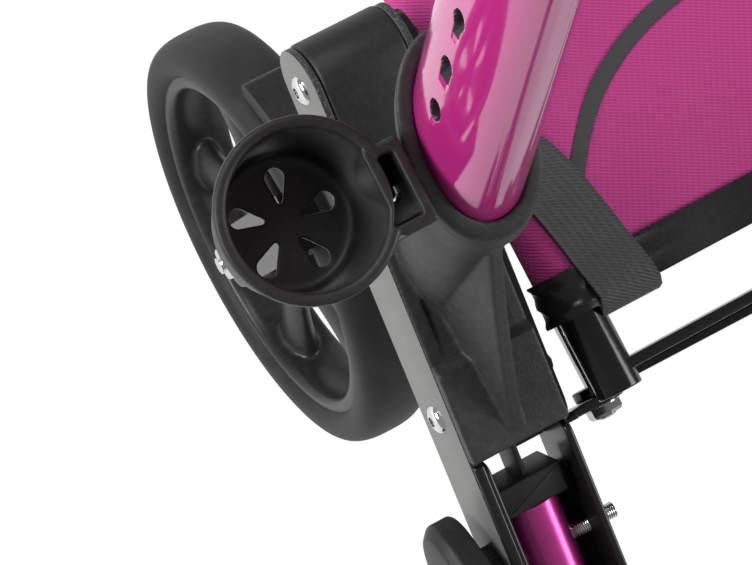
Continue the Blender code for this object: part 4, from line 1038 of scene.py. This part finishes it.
def knobs(side):
    """The leg clamp's and the height clamp's knobs. The leg's also has a threaded stud and a nut."""
    out = Vector((side, 0, 0))
    for name, (radius, height, boss) in KNOBS.items():
        node = f"{name}_{SIDES[side]}"
        inside, outside = (corner.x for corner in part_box(node)[::side])
        centre = bar_frame(side) @ Vector((0, LEG_KNOB_S, 0)) if name == "leg_knob" else middle(node)
        place = Vector((outside - side * height, *centre.yz))
        finished(hand_knob(place, out, radius, height, boss), f"{name}_moulding", side, "plastic", name, 40)
        if name == "leg_knob":
            stud = screw_end(place + out * 0.002, -out, 0.0044, abs(place.x - inside) - 0.001)
            collar = nut(Vector((inside + side * 0.0155, *centre.yz)), -out, 0.0085, 0.0045)
            extra(stud, f"{name}_stud", side, "chrome", name, 40)
            extra(collar, f"{name}_collar", side, "plastic", name, 30)


# Brace, in x and z across the rollator
PIVOT = (0.213, 0.350)
RAIL = (0.217, 0.405)
RAIL_R = 0.0125
RAIL_ENDS = (-0.350, -0.078)
ARM_YS = (-0.083, -0.268)
ARM_THICK = 0.006
ARM_HALF = 0.011
LAYERS = {1: 0, -1: 1}  # how many arms back each side's arms lie
ROD_NUT = 0.008
ROD_R = 0.004


def bar_outline(start, end, half):
    """The outline of a flat bar with round ends, in a plane."""
    heading = math.atan2(*np.subtract(end, start)[::-1])
    ends = (start, heading + math.pi / 2), (end, heading - math.pi / 2)
    return np.vstack([arc(centre, half, first, first + math.pi, 16) for centre, first in ends])


def brace(side):
    """Each brace: a seat rail of round tube with plugged ends, and two flat arms with round ends."""
    pivot, rail = (side * PIVOT[0], PIVOT[1]), (-side * RAIL[0], RAIL[1])
    length = RAIL_ENDS[1] - RAIL_ENDS[0]
    tube = rounded([(0.0001, 0.0005), (RAIL_R, 0), (RAIL_R, length), (0.0001, length - 0.0005)],
                   (0, 0.0015, 0.0015, 0), 4, False)
    shapes = [turned(tube, drawn(rail[0], RAIL_ENDS[0], rail[1]), Y_AXIS, 72)]
    for arm_y in ARM_YS:
        place = drawn(0, arm_y - LAYERS[side] * (ARM_THICK + 0.0003), 0)
        across = grid_frame(place, X_AXIS, Z_AXIS, (0, -1, 0))
        outline = bar_outline(pivot, rail, ARM_HALF)
        shapes.append(slab(outline, -ARM_THICK / 2, ARM_THICK / 2, 0.0012, across, 3))
    node = f"brace_from_{SIDES[side]}"
    stand_in(linked(f"brace_{SIDES[side]}", together(*shapes)), "paint", node, 40)


def rods():
    """The pivot rods and the centre rod: a rod with a thick chrome nut and washer at each end."""
    for node in ("pivot_rod_right", "pivot_rod_left", "centre_rod"):
        low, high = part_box(node)
        x, _, z = middle(node)
        back, front, reach = low.y + ROD_NUT, high.y - ROD_NUT, (high.z - low.z) / 2
        shapes = [turned(oblong(0, ROD_R, 0, high.y - low.y - 2 * ROD_NUT), (x, back, z), Y_AXIS, 32),
                  nut((x, front, z), Y_AXIS, reach, ROD_NUT * 0.8),
                  button_head((x, high.y - ROD_NUT * 0.25, z), Y_AXIS, reach * 0.55, ROD_NUT * 0.25, 0.3),
                  nut((x, back, z), (0, -1, 0), reach, ROD_NUT * 0.8)]
        stand_in(linked(f"{node}_metal", together(*shapes)), "dark_chrome", node, 30)


# Seat
SEAT_ENDS = (-0.342, -0.125)
SEAT_LIFT = 0.0148
SEAT_SAG = 0.018
SEAT_HEM = math.radians(100)
RIB_TURN = math.radians(26.7)
SEAM_HALF = [(0.2035, -0.140), (0.2000, -0.172), (0.168, -0.216), (0.110, -0.247)]
SEAM_MIDDLE = (0, -0.254)

# The webbing: where it lies on the cloth, then its way down over the front hem and what faces outwards there
STRAP_HALF = 0.018
STRAP_THICK = 0.0018
STRAP_ON = [(0.2430, -0.246), (0.2260, -0.228), (0.2080, -0.196), (0.1990, -0.160), (0.1940, -0.128)]
STRAP_DROP = [(-0.0003, 0.006, -0.002), (-0.0006, 0.010, -0.007), (-0.001, 0.011, -0.014),
              (-0.001, 0.008, -0.021), (-0.001, 0.002, -0.0255), (-0.001, -0.010, -0.028),
              (-0.001, -0.024, -0.0285)]
STRAP_SWING = [(0, 0.45, 0.9), (0, 0.8, 0.6), (0, 1, 0), (0, 0.8, -0.6), (0, 0.4, -0.9), (0, 0.05, -1),
               (0, 0, -1)]


def seat_line():
    """The seat's middle line across the rollator: distance along it, its x and z, and its normal. It sags as
    a parabola between the rails and goes 100 degrees round each."""
    x = np.linspace(-RAIL[0], RAIL[0], 161)
    z = RAIL[1] + SEAT_LIFT - SEAT_SAG * (1 - (x / RAIL[0]) ** 2)
    turn = np.linspace(0, SEAT_HEM, 25)[1:]
    hem = np.stack([RAIL[0] + SEAT_LIFT * np.sin(turn), RAIL[1] + SEAT_LIFT * np.cos(turn)], -1)
    line = np.vstack([hem[::-1] * (-1, 1), np.stack([x, z], -1), hem])
    along = lengths_along(line)
    heading = np.gradient(line, axis=0)
    heading /= np.linalg.norm(heading, axis=1)[:, None]
    return along - along[-1] / 2, line, np.stack([-heading[:, 1], heading[:, 0]], -1)


SEAT_ALONG, SEAT_LINE, SEAT_NORMAL = seat_line()


def on_seat(a, y, lift):
    """Points on the seat: a along its middle line, at y, raised by lift along the cloth's normal."""
    a, y, lift = np.broadcast_arrays(a, y, lift)
    x, z = (np.interp(a, SEAT_ALONG, SEAT_LINE[:, k]) for k in (0, 1))
    out_x, out_z = (np.interp(a, SEAT_ALONG, SEAT_NORMAL[:, k]) for k in (0, 1))
    return np.stack([x + out_x * lift, y, z + out_z * lift], -1) + np.array(SHIFT)


def laid(a, y, lift):
    """A line on the seat, and the cloth's normal at each of its points."""
    line = on_seat(a, y, lift)
    return line, on_seat(a, y, lift + 1) - line


def rumple(a, y):
    """Soft folds in the cloth: three slow waves, strongest towards the rails, in metres."""
    near = 0.35 + 0.65 * np.clip(np.abs(a) / RAIL[0], 0, 1) ** 2
    free = 1 - np.clip((np.abs(a) - 0.185) / 0.02, 0, 1)
    folds = np.sin(38 * a + 61 * y + 1.0) + 0.7 * np.sin(74 * a - 47 * y + 2.2)
    return 0.0016 * (folds + 0.5 * np.sin(23 * a + 97 * y)) * near * free


def creased(a, y):
    """The front hem: softer folds, and sharp creases by the rails, (1 - |sin| of a warped slant) squared."""
    warp = 0.9 * np.sin(90 * y) + 0.7 * np.sin(130 * a)
    near = np.clip((np.abs(a) - 0.15) / 0.05, 0, 1)
    return 0.5 * rumple(a, y) + 0.0022 * near * (1 - np.abs(np.sin(90 * a + 210 * y + warp))) ** 2


def sheet_on_seat(a, y, thick, fold, lift=0.0):
    """A closed sheet on the seat over a grid of a and y, from its foot round to its top, and its UV."""
    across, length = np.meshgrid(a, y, indexing="ij")
    height = fold(across, length) + lift
    lower, upper = (on_seat(across, length, height + way * thick / 2) for way in (-1, 1))
    flat = np.stack([across, length], -1)
    shape = skin(np.concatenate([lower, upper[:, ::-1]], axis=1))
    return shape, np.concatenate([flat, flat[:, ::-1]], axis=1)


def soft(name, look, shape, flat, stands_for=()):
    """Cloth that both seat rails carry, dressed with no body and its place baked into its mesh."""
    piece = dressed(linked(name, shape), look, None, stands_for, 50, flat)
    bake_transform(piece)
    return piece


def seat():
    """Ribbed cloth, a black vinyl front hem, a bound back edge and a bound seam across the cloth."""
    end = SEAT_ALONG[-1]
    columns = np.linspace(-end, end, 241)
    rows = np.linspace(SEAT_ENDS[0], SEAT_ENDS[1] - 0.016, 60)
    shape, flat = sheet_on_seat(columns, rows, 0.0018, rumple)
    cloth = soft("seat_cloth", "ribbed", shape, flat @ spin(RIB_TURN), ["seat_sling"])
    hem_rows = SEAT_ENDS[1] - 0.010 + 0.012 * np.sin(np.linspace(-math.pi / 2, math.pi / 2, 15))
    hem = soft("seat_front_hem", "vinyl", *sheet_on_seat(columns, hem_rows, 0.0052, creased, 0.0006))
    back_rows = SEAT_ENDS[0] - 0.001 + 0.006 * (1 + np.sin(np.linspace(-math.pi / 2, math.pi / 2, 9)))
    back = soft("seat_back_binding", "binding", *sheet_on_seat(columns, back_rows, 0.0040, rumple))
    route = [(-a, y) for a, y in SEAM_HALF] + [SEAM_MIDDLE] + SEAM_HALF[::-1]
    a, y = rounded(route, 0.05, 10, False).T
    path, ups = laid(a, y, rumple(a, y) + 0.0012)
    section = rounded(oblong(-0.0046, 0.0046, -0.0008, 0.0008), 0.0007, 3)
    run, across = np.meshgrid(lengths_along(path), np.linspace(0, 0.02, len(section)), indexing="ij")
    binding = soft("seat_seam_binding", "binding", swept(path, section, ups), np.stack([across, run], -1))


def strap(side):
    """Webbing 36 mm wide, round the rail, forwards and inwards over the cloth and down over the front hem."""
    on = rounded(STRAP_ON, 0.03, 8, False)
    a, y = (np.interp(np.linspace(0, len(on) - 1, 60), range(len(on)), on[:, k]) for k in (0, 1))
    top, ups = laid(side * a, y, 0.0035 + 0.003 * np.clip((y + 0.150) / 0.02, 0, 1))
    path = np.vstack([top, top[-1] + np.array(STRAP_DROP) * (side, 1, 1)])
    x = np.linspace(-STRAP_HALF, STRAP_HALF, 12)
    section = np.vstack([np.stack([way * x, np.full(12, -way * STRAP_THICK / 2)], -1) for way in (1, -1)])
    run = lengths_along(path)
    uv = np.stack(np.broadcast_arrays(section[None, :, 0], run[:, None]), -1)
    body = "brace_b" if side > 0 else "brace_a"
    shape = swept(path, section, np.vstack([ups, STRAP_SWING]))
    piece = dressed(linked(f"seat_strap_{SIDES[side]}", shape), "webbing", body, (), 50, uv)


# Uprights, handles and back strap
TUBE_R = 0.0165
HANDLE_R = 0.0125
HANDLE_START = 0.322
HANDLE_TOP = 0.494
HANDLE_BEND = 0.045
GRIP_LENGTH = 0.115
GRIP_STEM = 0.022
GRIP_R = 0.018
GRIP_OVER = 0.004
SLEEVE = (0.414, 0.444)


def handle_path(side):
    """The handle tube's middle line: straight up the upright, round a bend, then level backwards."""
    home = upright_frame(side)
    start, top = home @ Vector((0, 0, HANDLE_START)), home @ Vector((0, 0, HANDLE_TOP))
    heading, level = (top - start).normalized(), Vector((0, -1, 0))
    turn = heading.angle(level)
    inward = (level - heading * level.dot(heading)).normalized()
    points = [start.lerp(top, share) for share in np.linspace(0, 1, 6)]
    for angle in np.linspace(0, turn, 17)[1:]:
        turned_in, ahead = HANDLE_BEND * (1 - math.cos(angle)), HANDLE_BEND * math.sin(angle)
        points.append(top + inward * turned_in + heading * ahead)
    end = points[-1]
    points += [end + level * (GRIP_LENGTH + GRIP_STEM) * share for share in (0.1, 0.5, 0.9, 1.0)]
    return np.array(points)


def grip_radius(share):
    """A finger grip's radius: four waves along it, which fade out towards both ends."""
    waves = 0.0011 * np.cos(TURN * 4 * share) * np.clip(np.sin(math.pi * share) * 2, 0, 1)
    return GRIP_R - 0.0012 + waves


def handle(side):
    """The upright's tube with its collar, and the bent handle pipe with its domed and flanged grip."""
    home = upright_frame(side)
    tube = pipe(oblong(TUBE_R - 0.002, TUBE_R, 0.012, 0.482), 0.0006, home, Z_AXIS, 56, 2)
    collar = pipe(oblong(0.0130, TUBE_R + 0.0012, 0.474, 0.4835), 0.001, home, Z_AXIS, 56, 3)
    finished(tube, "upright_tube", side, "paint", "upright", 40)
    extra(collar, "upright_collar", side, "plastic", "upright", 40)
    path = handle_path(side)
    finished(swept(path, circle(HANDLE_R, 48), (side, 0, 0)), "handle_pipe", side, "paint", "handle_tube", 40)
    length, bore, share = GRIP_LENGTH + GRIP_OVER, HANDLE_R + 0.0004, np.linspace(0, 1, 90)
    hold = np.stack([grip_radius(share), share * length], -1)
    dome = rounded([(0, 0), (GRIP_R * 0.9, 0), (GRIP_R, 0.006)], 0.004, 4, False)
    flange = [(GRIP_R, length - 0.006), (GRIP_R, length), (bore, length), (bore, length - 0.004),
              (0, length - 0.004)]
    profile = np.vstack([dome, hold[5:-5], rounded(flange, 0.002, 3, False)])
    grip = turned(profile, path[-1] - (0, GRIP_OVER, 0), Y_AXIS, 72)
    finished(grip, "grip_moulding", side, "grip", "handle_grip", 50)


def back_strap():
    """A padded band bowed backwards between the uprights, with piped edges and a sleeve at each end."""
    anchor = upright_frame(1) @ Vector((0, 0, sum(SLEEVE) / 2))
    share = np.linspace(-1, 1, 121)
    half = BAR_X - TUBE_R - 0.0015
    path = np.stack([SHIFT.x + half * share, anchor.y - 0.055 * (1 - share ** 2), np.full(121, anchor.z)], -1)
    angle = np.linspace(0, TURN, 64, endpoint=False)
    pad = 0.0040 + 0.0016 * np.cos(angle * 2) ** 2
    section = np.stack([powered(np.cos(angle), 0.55) * pad, 0.0165 * powered(np.sin(angle), 0.7)], -1)
    loop = oblong(TUBE_R + 0.0004, TUBE_R + 0.003, *SLEEVE)
    sleeves = [pipe(loop, 0.0012, upright_frame(side), Z_AXIS, 56, 3) for side in SIDES]
    shape = together(swept(path, section, Z_AXIS), *sleeves)
    piece = stand_in(linked("back_strap", shape), "vinyl", "backrest_strap", 50)
    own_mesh(piece)


def both_sides(*builders):
    for build in builders:
        for side in SIDES:
            build(side)


camera()
studio()

wheels()
both_sides(hub)
cup()
both_sides(bar_bolts, plates, rear_block, channel, leg, knobs, brace)
rods()
seat()
both_sides(strap, handle)
back_strap()
for name in sorted(nodes):
    if not nodes[name].hide_render:
        softened(name)
